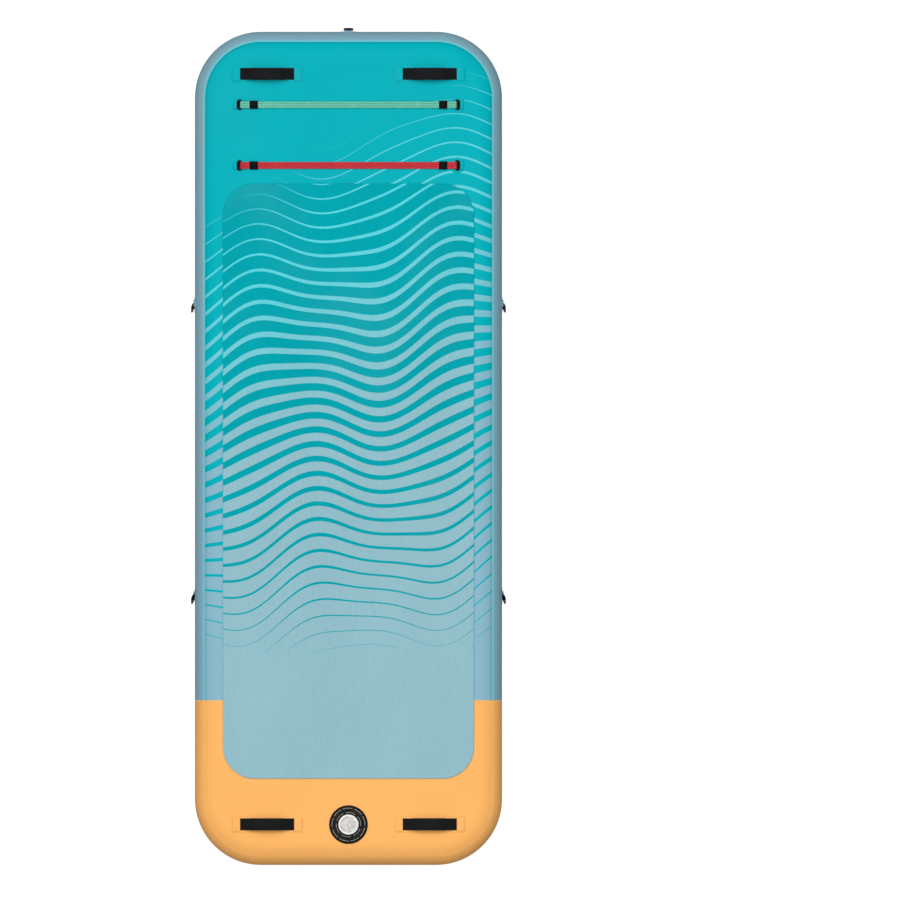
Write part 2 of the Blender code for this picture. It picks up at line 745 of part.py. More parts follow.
# Each rail ring has its surface point, the way that its ring points and the surface's outward normal
RAIL_RINGS = {"nose_ring": ((0, NOSE_Y, RAIL_Z), (0, 0, -1), (0, 1, 0))}
for side, sign in (("left", -1), ("right", 1)):
    for number, ring_y in enumerate(RAIL_RING_YS):
        # The forward ring points down and aft, and the aft one up and aft
        down = 1 if number == 0 else -1
        points_to = (0, -math.sin(RAIL_RING_TURN), -down * math.cos(RAIL_RING_TURN))
        name = f"{('fore', 'aft')[number]}_ring_{side}"
        RAIL_RINGS[name] = ((sign * SIDE_X, ring_y, RAIL_Z), points_to, (sign, 0, 0))

for name, (point, points_to, normal) in RAIL_RINGS.items():
    bar = Vector(points_to).cross(Vector(normal))
    place = frame(point, bar, normal)
    rail_along = Vector((1, 0, 0)) if name == "nose_ring" else Vector((0, 1, 0))
    straight = (place.to_3x3().transposed() @ rail_along).xy.normalized()
    tab(
        f"{name}_tab",
        place,
        RAIL_PATCH_RADIUS,
        -RAIL_PATCH_SHIFT,
        RAIL_WEBBING_WIDTH,
        FINISHES["patch_blue"],
        straight,
    )
    ring(name, RAIL_RING_WIDTH, RAIL_RING_DEPTH, place, RAIL_RING_TILT)


# Resistance bands

def band_path():
    """Stub, fold round one ring, the long stretch, fold round the other ring, stub, as (x, z) points."""
    fold = arc(
        (BAND_RING_X - BAND_RING_DEPTH * math.cos(BAND_RING_TILT), BAND_FOLD_MIDDLE),
        (BAND_LOOP_REACH, (BAND_FOLD_HIGH - BAND_FOLD_LOW) / 2),
        math.pi / 2,
        -math.pi / 2,
        LOOP_STEPS,
    )
    upper = BAND_HEIGHT + BAND_THICKNESS + FIT_GAP
    meet_x = SLIDER_X + SLIDER_LENGTH / 2 + SLIDER_OUTWARD_ROOM
    stub_x = SLIDER_X - SLIDER_LENGTH / 2 - BAND_STUB
    right = [(stub_x, upper), (meet_x, upper), *fold, (meet_x, BAND_HEIGHT)]
    left = [(-x, z) for x, z in reversed(right)]
    return right + left


def slider_mesh():
    """A three-bar slide: two plates over the band, joined by side walls to a bar under it."""
    half = SLIDER_LENGTH / 2
    inside = BAND_WIDTH / 2 + FIT_GAP
    outside = inside + SLIDER_WALL
    under = BAND_HEIGHT - BAND_THICKNESS / 2 - FIT_GAP
    over = BAND_HEIGHT + BAND_THICKNESS * 1.5 + 2 * FIT_GAP
    xs = [-outside, -inside, inside, outside]
    ys = [-half, -SLIDER_CENTRE_BAR / 2, -SLIDER_SLOT / 2]
    ys += [-y for y in reversed(ys)]
    zs = [under - SLIDER_WALL, under, over, over + SLIDER_WALL]

    def filled(i, j, k):
        between_walls = i == 1
        if not between_walls or k == 2:
            return not (between_walls and j == 2)
        return k == 0 and j in (1, 2, 3)

    return block_solid(xs, ys, zs, filled)


for colour, band_y in BAND_YS.items():
    across = frame((0, band_y, DECK_Z), (0, -1, 0), (0, 0, 1))
    band = strip(band_path(), BAND_THICKNESS, BAND_WIDTH)
    add_object(f"band_{colour}", band, FINISHES[f"band_{colour}"], across)
    for side, sign in (("left", -1), ("right", 1)):
        place = frame((sign * BAND_RING_X, band_y, DECK_Z), (0, -sign, 0), (0, 0, 1))
        inward = place @ Matrix.Rotation(math.pi, 4, "Z")
        tab(
            f"band_{colour}_tab_{side}",
            inward,
            BAND_PATCH_RADIUS,
            -BAND_PATCH_SHIFT,
            BAND_WEBBING_WIDTH,
            FINISHES["patch_teal"],
        )
        ring(
            f"band_{colour}_ring_{side}", BAND_RING_WIDTH, BAND_RING_DEPTH, inward, BAND_RING_TILT
        )
        on_band = frame((sign * SLIDER_X, band_y, DECK_Z), (0, -1, 0), (0, 0, 1))
        add_object(
            f"band_{colour}_slider_{side}", slider_mesh(), FINISHES["ring_plastic"], on_band
        )


# Inflation valve, in a frame with its axis on Z and the deck at height zero

VALVE_PLACE = Matrix.Translation((0, VALVE_Y, DECK_Z))
NUT_TOP = -(SKIN_THICKNESS + FIT_GAP + CLOTH_THICKNESS + FIT_GAP)
BARREL_HOLE = BARREL_RADIUS + NUT_CLEARANCE


def valve_part(name, profile, finish, steps=TURN_STEPS, closed=True):
    return add_object(name, turned(profile, steps, closed), FINISHES[finish], VALVE_PLACE)


def surround_profile():
    """Flat underneath, rounded outside, with two raised lines round its top."""
    top = [(SURROUND_BORE, SURROUND_HEIGHT)]
    for radius in reversed(SURROUND_LINE_RADII):
        near = radius - SURROUND_LINE_WIDTH / 2
        far = radius + SURROUND_LINE_WIDTH / 2
        raised = SURROUND_HEIGHT + SURROUND_LINE_HEIGHT
        top += [(near, SURROUND_HEIGHT), (near, raised), (far, raised), (far, SURROUND_HEIGHT)]
    shoulder = arc(
        (SURROUND_RADIUS - SURROUND_EDGE, SURROUND_HEIGHT - SURROUND_EDGE),
        (SURROUND_EDGE, SURROUND_EDGE),
        math.pi / 2,
        0,
        LAP_STEPS,
    )
    return [*top, *shoulder, (SURROUND_RADIUS, FIT_GAP), (SURROUND_BORE, FIT_GAP)]


valve_part("valve_surround", surround_profile(), "valve_black")

valve_body = valve_part(
    "valve_body",
    [
        (BORE_RADIUS, COLLAR_HEIGHT),
        (COLLAR_RADIUS, COLLAR_HEIGHT),
        (COLLAR_RADIUS, FLANGE_HEIGHT),
        (FLANGE_RADIUS, FLANGE_HEIGHT),
        (FLANGE_RADIUS, FIT_GAP),
        (BARREL_RADIUS, FIT_GAP),
        (BARREL_RADIUS, -BARREL_DEPTH),
        (SEAT_RADIUS, -BARREL_DEPTH),
        (SEAT_RADIUS, SEAT_THICKNESS - BARREL_DEPTH),
        (BORE_RADIUS, SEAT_THICKNESS - BARREL_DEPTH),
    ],
    "valve_black",
)
guide_low = GUIDE_TOP - GUIDE_THICKNESS
arm_reach = (BORE_RADIUS + BARREL_RADIUS) / 2
for arm_x, arm_y in ((arm_reach, GUIDE_ARM_WIDTH / 2), (GUIDE_ARM_WIDTH / 2, arm_reach)):
    arm = box((-arm_x, -arm_y, guide_low), (arm_x, arm_y, GUIDE_TOP))
    boolean(valve_body, add_helper("guide_arm", arm, VALVE_PLACE), "UNION")
hub_overlap = FIT_GAP
hub = turned(
    [
        (STEM_RADIUS / 2, GUIDE_TOP + hub_overlap),
        (GUIDE_HUB_RADIUS, GUIDE_TOP + hub_overlap),
        (GUIDE_HUB_RADIUS, guide_low - hub_overlap),
        (STEM_RADIUS / 2, guide_low - hub_overlap),
    ],
    SMALL_TURN_STEPS,
)
boolean(valve_body, add_helper("guide_hub", hub, VALVE_PLACE), "UNION")
stem_hole = turned(
    [
        (0, GUIDE_TOP + CUT_OVERRUN),
        (STEM_RADIUS + STEM_CLEARANCE, GUIDE_TOP + CUT_OVERRUN),
        (STEM_RADIUS + STEM_CLEARANCE, guide_low - CUT_OVERRUN),
        (0, guide_low - CUT_OVERRUN),
    ],
    SMALL_TURN_STEPS,
    closed=False,
)
boolean(valve_body, add_helper("stem_hole", stem_hole, VALVE_PLACE), "DIFFERENCE")

barrel_hole = turned(
    [
        (0, CUT_OVERRUN),
        (BARREL_HOLE, CUT_OVERRUN),
        (BARREL_HOLE, NUT_TOP - CUT_OVERRUN),
        (0, NUT_TOP - CUT_OVERRUN),
    ],
    TURN_STEPS,
    closed=False,
)
hole_cutter = add_helper("barrel_hole", barrel_hole, VALVE_PLACE)
boolean(deck_skin, hole_cutter, "DIFFERENCE")
boolean(drop_stitch_core, hole_cutter, "DIFFERENCE")

nut_low = NUT_TOP - NUT_THICKNESS
valve_part(
    "valve_nut",
    [
        (BARREL_HOLE, NUT_TOP),
        (NUT_RADIUS, NUT_TOP),
        (NUT_RADIUS, nut_low + NUT_CHAMFER),
        (NUT_RADIUS - NUT_CHAMFER, nut_low),
        (BARREL_HOLE, nut_low),
    ],
    "valve_black",
)

seal_top = -BARREL_DEPTH - FIT_GAP
seal_low = seal_top - SEAL_THICKNESS
valve_part(
    "valve_seal",
    [
        (STEM_RADIUS + STEM_CLEARANCE, seal_top),
        (SEAL_RADIUS, seal_top),
        (SEAL_RADIUS, seal_low),
        (STEM_RADIUS + STEM_CLEARANCE, seal_low),
    ],
    "valve_rubber",
    SMALL_TURN_STEPS,
)

foot_top = seal_low - FIT_GAP
button_low = BUTTON_TOP - BUTTON_THICKNESS
valve_part(
    "valve_plunger",
    [
        (0, BUTTON_TOP),
        (BUTTON_RADIUS - BUTTON_THICKNESS / 2, BUTTON_TOP),
        (BUTTON_RADIUS, BUTTON_TOP - BUTTON_THICKNESS / 2),
        (BUTTON_RADIUS, button_low),
        (STEM_RADIUS, button_low),
        (STEM_RADIUS, foot_top),
        (STEM_FOOT_RADIUS, foot_top),
        (STEM_FOOT_RADIUS, foot_top - STEM_FOOT_THICKNESS),
        (0, foot_top - STEM_FOOT_THICKNESS),
    ],
    "valve_grey",
    SMALL_TURN_STEPS,
    closed=False,
)


def spring_object():
    """A coil between the guide and the button. Its least gap to itself is printed."""
    low = GUIDE_TOP + hub_overlap + FIT_GAP + SPRING_WIRE_RADIUS
    high = button_low - FIT_GAP - SPRING_WIRE_RADIUS
    count = SPRING_TURNS * SPRING_STEPS
    curve = bpy.data.curves.new("spring", "CURVE")
    curve.dimensions = "3D"
    curve.bevel_depth = SPRING_WIRE_RADIUS
    curve.bevel_resolution = 1
    curve.use_fill_caps = True
    spline = curve.splines.new("POLY")
    spline.points.add(count)
    for i, point in enumerate(spline.points):
        angle = math.tau * i / SPRING_STEPS
        height = low + (high - low) * i / count
        point.co = (SPRING_RADIUS * math.cos(angle), SPRING_RADIUS * math.sin(angle), height, 1)
    pitch = (high - low) / SPRING_TURNS
    print("valve spring, least gap between turns:", round(pitch - 2 * SPRING_WIRE_RADIUS, 5))
    curve.materials.append(FINISHES["spring_steel"])
    made = bpy.data.objects.new("valve_spring", curve)
    bpy.context.scene.collection.objects.link(made)
    made.matrix_world = VALVE_PLACE
    return made


spring_object()

gasket_low = COLLAR_HEIGHT + FIT_GAP
gasket_top = gasket_low + GASKET_THICKNESS
valve_part(
    "valve_cap_gasket",
    [
        (COLLAR_RADIUS - GASKET_WALL, gasket_top),
        (COLLAR_RADIUS, gasket_top),
        (COLLAR_RADIUS, gasket_low),
        (COLLAR_RADIUS - GASKET_WALL, gasket_low),
    ],
    "valve_rubber",
)

cap_low = FLANGE_HEIGHT + FIT_GAP
cap_bore = CAP_RADIUS - CAP_WALL
cap_ceiling = gasket_top + FIT_GAP
valve_part(
    "valve_cap",
    [
        (0, CAP_HEIGHT),
        (CAP_RADIUS - 2 * CAP_SHOULDER, CAP_HEIGHT - CAP_DOME),
        (CAP_RADIUS - CAP_SHOULDER, CAP_HEIGHT - 2 * CAP_DOME),
        (CAP_RADIUS, CAP_HEIGHT - CAP_DOME - CAP_SHOULDER),
        (CAP_RADIUS, cap_low),
        (cap_bore, cap_low),
        (cap_bore, cap_ceiling),
        (COLLAR_RADIUS - GASKET_WALL, cap_ceiling),
        (0, CAP_HEIGHT - CAP_WALL),
    ],
    "valve_grey",
    closed=False,
)
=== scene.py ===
import math

import bmesh
import bpy
from mathutils import Matrix, Vector


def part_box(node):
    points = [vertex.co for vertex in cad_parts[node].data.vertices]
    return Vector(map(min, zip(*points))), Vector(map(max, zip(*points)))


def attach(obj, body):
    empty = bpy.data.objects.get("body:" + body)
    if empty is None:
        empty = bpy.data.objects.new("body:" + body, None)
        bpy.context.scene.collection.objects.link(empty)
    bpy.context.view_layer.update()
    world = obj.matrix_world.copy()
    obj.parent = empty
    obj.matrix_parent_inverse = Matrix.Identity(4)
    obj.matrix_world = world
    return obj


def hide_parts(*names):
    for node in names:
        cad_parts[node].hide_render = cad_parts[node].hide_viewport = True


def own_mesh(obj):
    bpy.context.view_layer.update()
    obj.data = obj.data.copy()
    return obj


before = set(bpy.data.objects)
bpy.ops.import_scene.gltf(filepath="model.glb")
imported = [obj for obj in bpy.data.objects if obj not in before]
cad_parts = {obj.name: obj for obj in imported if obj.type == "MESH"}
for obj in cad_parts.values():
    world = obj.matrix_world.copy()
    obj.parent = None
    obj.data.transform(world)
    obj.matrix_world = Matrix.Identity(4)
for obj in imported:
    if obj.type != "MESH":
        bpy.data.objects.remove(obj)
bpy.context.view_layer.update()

# Deck skin. The real one is a polyester cloth with a printed vinyl coat, tied to the lower cloth by
# thousands of yarns that keep it flat. At the edge it rolls down into the rail, under the side wall's lap.

HALF_LENGTH = 1.25
HALF_WIDTH = 0.46075
CORNER_RADIUS = 0.198
DECK_Z = 0.180
HULL_Z = 0.030
RAIL_Z = 0.105
SKIN_RADIUS = 0.075
SKIN_THICKNESS = 0.0009
RAIL_RADIUS = 0.0764
BAND_DECK_ANGLE = math.radians(37.8)
BAND_HULL_ANGLE = math.radians(139)
SKIN_LAP = math.radians(10)
TAIL_SEAM_Y = -0.756
FIT_GAP = 0.0003
VALVE_Y = -1.129
VALVE_HOLE = 0.0243
CORNER_STEPS = 24
ROLL_STEPS = 14
HOLE_STEPS = 64
SHARP_ANGLE = math.radians(40)
STUDIO_LIGHT = 1.20
QUARTERS = ((1, 1), (-1, 1), (-1, -1), (1, -1))


def dye(red, green, blue):
    """The linear colour of a surface that the studio's light shows as these values from 0 to 255."""
    linear = []
    for level in (red, green, blue):
        share = level / 255
        share = share / 12.92 if share <= 0.04045 else ((share + 0.055) / 1.055) ** 2.4
        linear.append(share / STUDIO_LIGHT)
    return (*linear, 1.0)


def link(socket, target):
    socket.id_data.links.new(socket, target)


def node(kind, inputs, output=0, tree=None, **settings):
    """A shader node with its settings and its inputs, which are values or sockets of other nodes. It is
    made in the tree of those nodes, or in the one given."""
    sources = [value for value in inputs.values() if isinstance(value, bpy.types.NodeSocket)]
    made = (tree or sources[0].id_data).nodes.new("ShaderNode" + kind)
    for name, value in settings.items():
        setattr(made, name, value)
    for name, value in inputs.items():
        socket = made.inputs[name]
        if isinstance(value, bpy.types.NodeSocket):
            link(value, socket)
        else:
            socket.default_value = value[:3] if socket.type == "VECTOR" else value
    return made.outputs if output is None else made.outputs[output]


def maths(operation, *values):
    return node("Math", dict(enumerate(values)), operation=operation)


def times(first, second):
    return maths("MULTIPLY", first, second)


def times_plus(first, second, added):
    return maths("MULTIPLY_ADD", first, second, added)


def minus(first, second):
    return maths("SUBTRACT", first, second)


def wave(value, length, kind="SINE"):
    return maths(kind, times(value, math.tau / length))


def spread(value, low, high, to_low=0.0, to_high=1.0):
    """The value's way from low to high, eased at both ends."""
    limits = {0: value, 1: low, 2: high, 3: to_low, 4: to_high}
    return node("MapRange", limits, interpolation_type="SMOOTHSTEP")


def mixed(share, first, second):
    return node("Mix", {0: share, 6: first, 7: second}, 2, data_type="RGBA")


def vector_maths(operation, first, second):
    return node("VectorMath", {0: first, 1: second}, operation=operation)


def scaled(vector, share):
    return node("VectorMath", {0: vector, 3: share}, operation="SCALE")


def split(vector):
    return node("SeparateXYZ", {0: vector}, None)


def noise(place, scale, detail=2.0, stretch=(1.0, 1.0, 1.0)):
    drawn = vector_maths("MULTIPLY", place, stretch)
    return node("TexNoise", {"Vector": drawn, "Scale": scale, "Detail": detail})


def effect(name, place, inputs, outputs):
    """An empty group of nodes with its inputs, of which the first is a place, and its outputs."""
    group = bpy.data.node_groups.new(name, "ShaderNodeTree")
    for label, usual in {place: (0.0, 0.0, 0.0), **inputs}.items():
        kind = "NodeSocketVector" if label == place else "NodeSocketFloat"
        socket = group.interface.new_socket(name=label, in_out="INPUT", socket_type=kind)
        socket.default_value = usual
    for label in outputs:
        group.interface.new_socket(name=label, in_out="OUTPUT", socket_type="NodeSocketFloat")
    given = group.nodes.new("NodeGroupInput").outputs
    wanted = group.nodes.new("NodeGroupOutput").inputs
    return group, given, wanted


def applied(group, inputs):
    return node("Group", inputs, None, node_tree=group)


def new_material(name, roughness, specular=0.06, **usual):
    """A material, its shader's inputs and the place on the object."""
    made = bpy.data.materials.new(name)
    made.use_nodes = True
    sockets = made.node_tree.nodes["Principled BSDF"].inputs
    sockets["Roughness"].default_value = roughness
    sockets["Specular IOR Level"].default_value = specular
    for label, value in usual.items():
        sockets[label.replace("_", " ")].default_value = value
    return made, sockets, node("TexCoord", {}, "Object", made.node_tree)


def relief(sockets, height, depth):
    """Height from 0 to 1 becomes a relief this deep, in metres."""
    link(node("Bump", {"Height": height, "Distance": depth, "Strength": 1.0}), sockets["Normal"])


def grained(name, roughness, specular, scale, detail, dark, light, depth, **usual):
    """A material whose fine grain shows between two colours and in its relief."""
    finish, sockets, place = new_material(name, roughness, specular=specular, **usual)
    grain = noise(place, scale, detail)
    link(mixed(grain, dark, light), sockets["Base Color"])
    relief(sockets, grain, depth)
    return finish


# The cloth's threads show through its coat, and the yarns under it pull it into faint dimples
THREAD_PITCH = 0.0011
DIMPLE_PITCH = 0.011
coated_cloth, given, wanted = effect(
    "coated cloth", "Place", {"Thread": THREAD_PITCH, "Dimple": DIMPLE_PITCH}, ("Height", "Tone")
)
axes = split(given["Place"])
turns = maths("DIVIDE", math.tau, given["Thread"])
dimple_turns = maths("DIVIDE", math.tau, given["Dimple"])
threads, dimples = 0.5, 0.5
for axis in ("X", "Y", "Z"):
    threads = times_plus(maths("SINE", times(axes[axis], turns)), 0.16, threads)
    dimples = times_plus(maths("COSINE", times(axes[axis], dimple_turns)), 0.16, dimples)
fine = noise(given["Place"], 420.0)
woven = times_plus(dimples, 0.45, times(threads, 0.30))
link(times_plus(fine, 0.25, woven), wanted["Height"])
broad = noise(given["Place"], 3.2, 3.0)
link(times_plus(broad, 0.7, times(fine, 0.3)), wanted["Tone"])

# Sand dust lies in soft patches, and shoes and hands leave short pale scuffs
DUST = dye(205, 205, 196)
handling, given, wanted = effect("handling", "Place", {"Size": 1.0}, ("Dust", "Scuff"))
sized = scaled(given["Place"], given["Size"])
link(spread(noise(sized, 2.6, 5.0), 0.48, 0.80), wanted["Dust"])
link(spread(noise(sized, 34.0, 3.0, (1.0, 0.22, 1.0)), 0.66, 0.80), wanted["Scuff"])

# The print's rows of ripples lie across the board and thicken towards the tail until they meet
RIPPLE_PITCH = 0.047
ripples, given, wanted = effect("ripples", "Place", {"Shift": 0.0}, ("Stripe", "Depth"))
axes = split(given["Place"])
swells = []
for length, slant, rise in ((0.62, 2.3, 0.046), (0.29, -3.1, 0.010)):
    turned = times_plus(axes["X"], math.tau / length, times(axes["Y"], slant))
    swells.append(times(maths("SINE", turned), rise))
slope = times_plus(axes["X"], -0.16, maths("ADD", *swells))
row = maths("DIVIDE", maths("ADD", axes["Y"], slope), RIPPLE_PITCH)
within = maths("FRACT", maths("ADD", row, given["Shift"]))
from_middle = times(maths("ABSOLUTE", minus(within, 0.5)), 2.0)
front = times_plus(axes["X"], 0.55, 0.94)
depth = maths("DIVIDE", minus(front, axes["Y"]), maths("ADD", front, 0.62))
link(spread(minus(depth, from_middle), -0.02, 0.03), wanted["Stripe"])
link(depth, wanted["Depth"])


def rippled(place, ground, thin, thick, shift):
    """The print's colour, from its ground and the colours of its thin and thick stripes."""
    printed = applied(ripples, {"Place": place, "Shift": shift})
    stripe = mixed(spread(printed["Depth"], 0.12, 0.62), thin, thick)
    return mixed(printed["Stripe"], ground, stripe)


def coat(sockets, place, colour, thread=THREAD_PITCH, dimple=DIMPLE_PITCH, size=1.0, grime=0.03):
    """Gives a painted sheet its cloth, its uneven dye and traces of use."""
    cloth = applied(coated_cloth, {"Place": place, "Thread": thread, "Dimple": dimple})
    used = applied(handling, {"Place": place, "Size": size})
    shaded = scaled(colour, times_plus(cloth["Tone"], 0.08, 0.96))
    dusty = mixed(times(used["Dust"], grime * 0.6), shaded, DUST)
    link(mixed(times(used["Scuff"], grime), dusty, dye(225, 232, 234)), sockets["Base Color"])
    link(times_plus(used["Dust"], 0.18, sockets["Roughness"].default_value), sockets["Roughness"])
    relief(sockets, cloth["Height"], 0.00016)


TEAL = dye(2, 177, 188)
ORANGE = dye(255, 185, 104)
SEAM_BLUR = 0.0008
deck_print, sockets, place = new_material("printed deck cloth", 0.45, specular=0.02)
print_colour = rippled(place, TEAL, dye(96, 210, 222), dye(138, 184, 201), 0.0)
axes = split(place)
to_tail = spread(axes["Y"], TAIL_SEAM_Y + SEAM_BLUR, TAIL_SEAM_Y - SEAM_BLUR)
both = mixed(to_tail, print_colour, ORANGE)
# Painted shade: the deck is slightly deeper in a thin line just above the blue side wall's edge, where the
# wall laps over it
lap_shade = times(spread(axes["Z"], 0.1705, 0.1650), minus(1.0, to_tail))
coat(sockets, place, scaled(both, times_plus(lap_shade, -0.16, 1.0)), grime=0.012)


def round_turn(count):
    """Angles evenly round a full turn."""
    return [math.tau * i / count for i in range(count)]


def rounded(half_x, half_y, radius, steps, centre_y=0.0):
    """Points round a rectangle with round corners, anticlockwise from its right side."""
    points = []
    for quarter, (side_x, side_y) in enumerate(QUARTERS):
        for i in range(steps + 1):
            angle = (quarter + i / steps) * math.pi / 2
            x = side_x * (half_x - radius) + radius * math.cos(angle)
            y = centre_y + side_y * (half_y - radius) + radius * math.sin(angle)
            points.append((x, y))
    return points


def board_outline(inset):
    return rounded(HALF_WIDTH - inset, HALF_LENGTH - inset, CORNER_RADIUS - inset, CORNER_STEPS)


def rail_point(radius, angle):
    """Inset from the board's edge and height, on the round rail, by the angle from the deck."""
    return RAIL_RADIUS - radius * math.sin(angle), RAIL_Z + radius * math.cos(angle)


def loft(rows, closed_round=True, closed_along=False, caps=True, bm=None):
    """A skin over rows of points, in a new mesh or added to one, and the rows of its vertices."""
    bm = bmesh.new() if bm is None else bm
    verts = [[bm.verts.new(point) for point in row] for row in rows]
    count = len(verts[0])
    pairs = list(zip(verts, verts[1:]))
    if closed_along:
        pairs.append((verts[-1], verts[0]))
    for low, high in pairs:
        for i in range(count if closed_round else count - 1):
            j = (i + 1) % count
            bm.faces.new((low[i], low[j], high[j], high[i]))
    if caps and not closed_along:
        bm.faces.new(verts[0])
        bm.faces.new(verts[-1])
    return bm, verts


def new_piece(name, bm, finish, body, place=None, stands_for=()):
    """A shown piece of the board, with its finish, on the body that it moves with."""
    bmesh.ops.recalc_face_normals(bm, faces=bm.faces)
    mesh = bpy.data.meshes.new(name)
    bm.to_mesh(mesh)
    bm.free()
    if place is not None:
        mesh.transform(place)
    mesh.materials.append(finish)
    mesh.shade_smooth()
    mesh.set_sharp_from_angle(angle=SHARP_ANGLE)
    made = bpy.data.objects.new(name, mesh)
    bpy.context.scene.collection.objects.link(made)
    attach(made, body)
    if stands_for:
        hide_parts(*stands_for)
    return made


def fill_between(bm, ring, hole):
    """Flat triangles between a ring of vertices and a hole in it."""
    pairs = [pair for loop in (ring, hole) for pair in zip(loop, loop[1:] + loop[:1])]
    edges = [bm.edges.get(pair) or bm.edges.new(pair) for pair in pairs]
    bmesh.ops.triangle_fill(bm, use_beauty=True, edges=edges)


def board_skin(side, end_angle):
    """One sheet: flat, then rolled down the rail and under the side wall. Side is 1 on the deck."""
    flat_inset = RAIL_RADIUS + 0.012
    angles = [end_angle * i / ROLL_STEPS for i in range(ROLL_STEPS + 1)] + [end_angle + SKIN_LAP]
    section = [(flat_inset, RAIL_Z + SKIN_RADIUS)]
    section += [rail_point(SKIN_RADIUS, angle) for angle in angles]
    section += [rail_point(SKIN_RADIUS - SKIN_THICKNESS, angle) for angle in reversed(angles)]
    section.append((flat_inset, RAIL_Z + SKIN_RADIUS - SKIN_THICKNESS))
    rows = []
    for inset, height in section:
        level = RAIL_Z + side * (height - RAIL_Z)
        rows.append([(x, y, level) for x, y in board_outline(inset)])
    return loft(rows, caps=False)


bm, rows = board_skin(1, BAND_DECK_ANGLE)
hole = [(VALVE_HOLE * math.cos(a), VALVE_Y + VALVE_HOLE * math.sin(a)) for a in round_turn(HOLE_STEPS)]
levels = (DECK_Z, DECK_Z - SKIN_THICKNESS)
_, hole_rows = loft([[(x, y, level) for x, y in hole] for level in levels], caps=False, bm=bm)
fill_between(bm, rows[0], hole_rows[0])
fill_between(bm, rows[-1], hole_rows[1])
new_piece("deck_cloth", bm, deck_print, "board", stands_for=["deck_skin"])

# Hull skin. A plain teal sheet of the same coated cloth closes the board underneath. It has no print, and
# it rolls up into the rails in the same way. A small white arrow is printed near one side of the nose.

ARROW_TAIL_X = -0.331
ARROW_Y = 0.932
ARROW_LENGTH = 0.054

hull_sheet, sockets, place = new_material("plain hull cloth", 0.42, specular=0.03)
axes = split(place)
along = minus(ARROW_TAIL_X, axes["X"])
aside = maths("ABSOLUTE", minus(axes["Y"], ARROW_Y))
shaft = times(spread(aside, 0.0016, 0.0010), spread(along, 0.0, 0.001))
shaft = times(shaft, spread(along, 0.036, 0.035))
taper = times(minus(ARROW_LENGTH, along), 0.5)
head = times(spread(minus(aside, taper), 0.0004, -0.0004), spread(along, 0.034, 0.035))
coat(sockets, place, mixed(maths("MAXIMUM", shaft, head), TEAL, dye(236, 240, 240)), grime=0.03)
bm, rows = board_skin(-1, math.pi - BAND_HULL_ANGLE)
bm.faces.new(rows[0])
bm.faces.new(rows[-1])
new_piece("hull_cloth", bm, hull_sheet, "board", stands_for=["hull_skin"])

# Side walls. Two bands of heavier coated cloth, blue round the nose and both sides and orange round the tail,
# are glued over both skins. Their edges are thinner heat welds, and the blue band is paler along them.

WALL_THICKNESS = 0.0011
EDGE_COLOUR_MARGIN = 0.0090
WELD_PRESS = 0.005
WALL_STEPS = 34
SIDE_STEPS = 40


def wall_path(inset, nose):
    """The outline's open path round the nose or the tail, from seam to seam."""
    seam_y = TAIL_SEAM_Y + (1 if nose else -1) * FIT_GAP / 2
    ring = board_outline(inset)
    count = CORNER_STEPS + 1
    bend = ring[: 2 * count] if nose else ring[2 * count :]
    steps = SIDE_STEPS if nose else SIDE_STEPS // 4

    def from_seam(corner):
        return [(corner[0], seam_y + (corner[1] - seam_y) * i / steps) for i in range(steps)]

    return from_seam(bend[0]) + bend + from_seam(bend[-1])[::-1]


def side_wall(nose):
    span = BAND_HULL_ANGLE - BAND_DECK_ANGLE
    section, inner = [], []
    for i in range(WALL_STEPS + 1):
        share = i / WALL_STEPS
        angle = BAND_DECK_ANGLE + span * share
        edge = min(share, 1 - share) * span * RAIL_RADIUS
        thin = WALL_THICKNESS * 0.9 * max(0.0, 1 - edge / WELD_PRESS) ** 2
        section.append(rail_point(RAIL_RADIUS - thin, angle))
        inner.append(rail_point(RAIL_RADIUS - WALL_THICKNESS, angle))
    section += reversed(inner)
    paths = [[(x, y, height) for x, y in wall_path(inset, nose)] for inset, height in section]
    bm, rows = loft(paths, closed_round=False, closed_along=True)
    for end in (0, -1):
        for i in range(len(rows) // 2 - 1):
            facing = len(rows) - 1 - i
            bm.faces.new((rows[i][end], rows[i + 1][end], rows[facing - 1][end], rows[facing][end]))
    return bm


def wall_cloth(name, plain, edge_colour):
    """Coated cloth with a second colour along the wall's deck and hull edges."""
    finish, sockets, place = new_material(name, 0.45, specular=0.03)
    height = split(place)["Z"]
    margins = []
    for angle, inwards in ((BAND_DECK_ANGLE, -1), (BAND_HULL_ANGLE, 1)):
        edge = RAIL_Z + RAIL_RADIUS * math.cos(angle)
        margins.append(spread(height, *(edge + inwards * EDGE_COLOUR_MARGIN * share for share in (0.75, 0.35))))
    coat(sockets, place, mixed(maths("MAXIMUM", *margins), plain, edge_colour), grime=0.05)
    return finish


for end, colour, plain, edge_colour in (
    ("front", "blue", dye(134, 177, 193), dye(118, 196, 210)),
    ("tail", "orange", ORANGE, ORANGE),
):
    finish = wall_cloth(f"{colour} side wall cloth", plain, edge_colour)
    wall = side_wall(end == "front")
    new_piece(f"side_wall_{end}", wall, finish, "board", stands_for=[f"rail_band_{end}"])

# Deck pad. A sheet of soft closed-cell foam, glued to the deck, with a brushed skin that grips bare feet.
# The ripples are printed on it again, a little darker than on the cloth, and its edge is rounded off.

PAD_HALF_WIDTH = 0.3765
PAD_NOSE_Y = 0.794
PAD_TAIL_Y = -0.991
PAD_CORNER_RADIUS = 0.095
PAD_THICKNESS = 0.005
PAD_EDGE = 0.0015

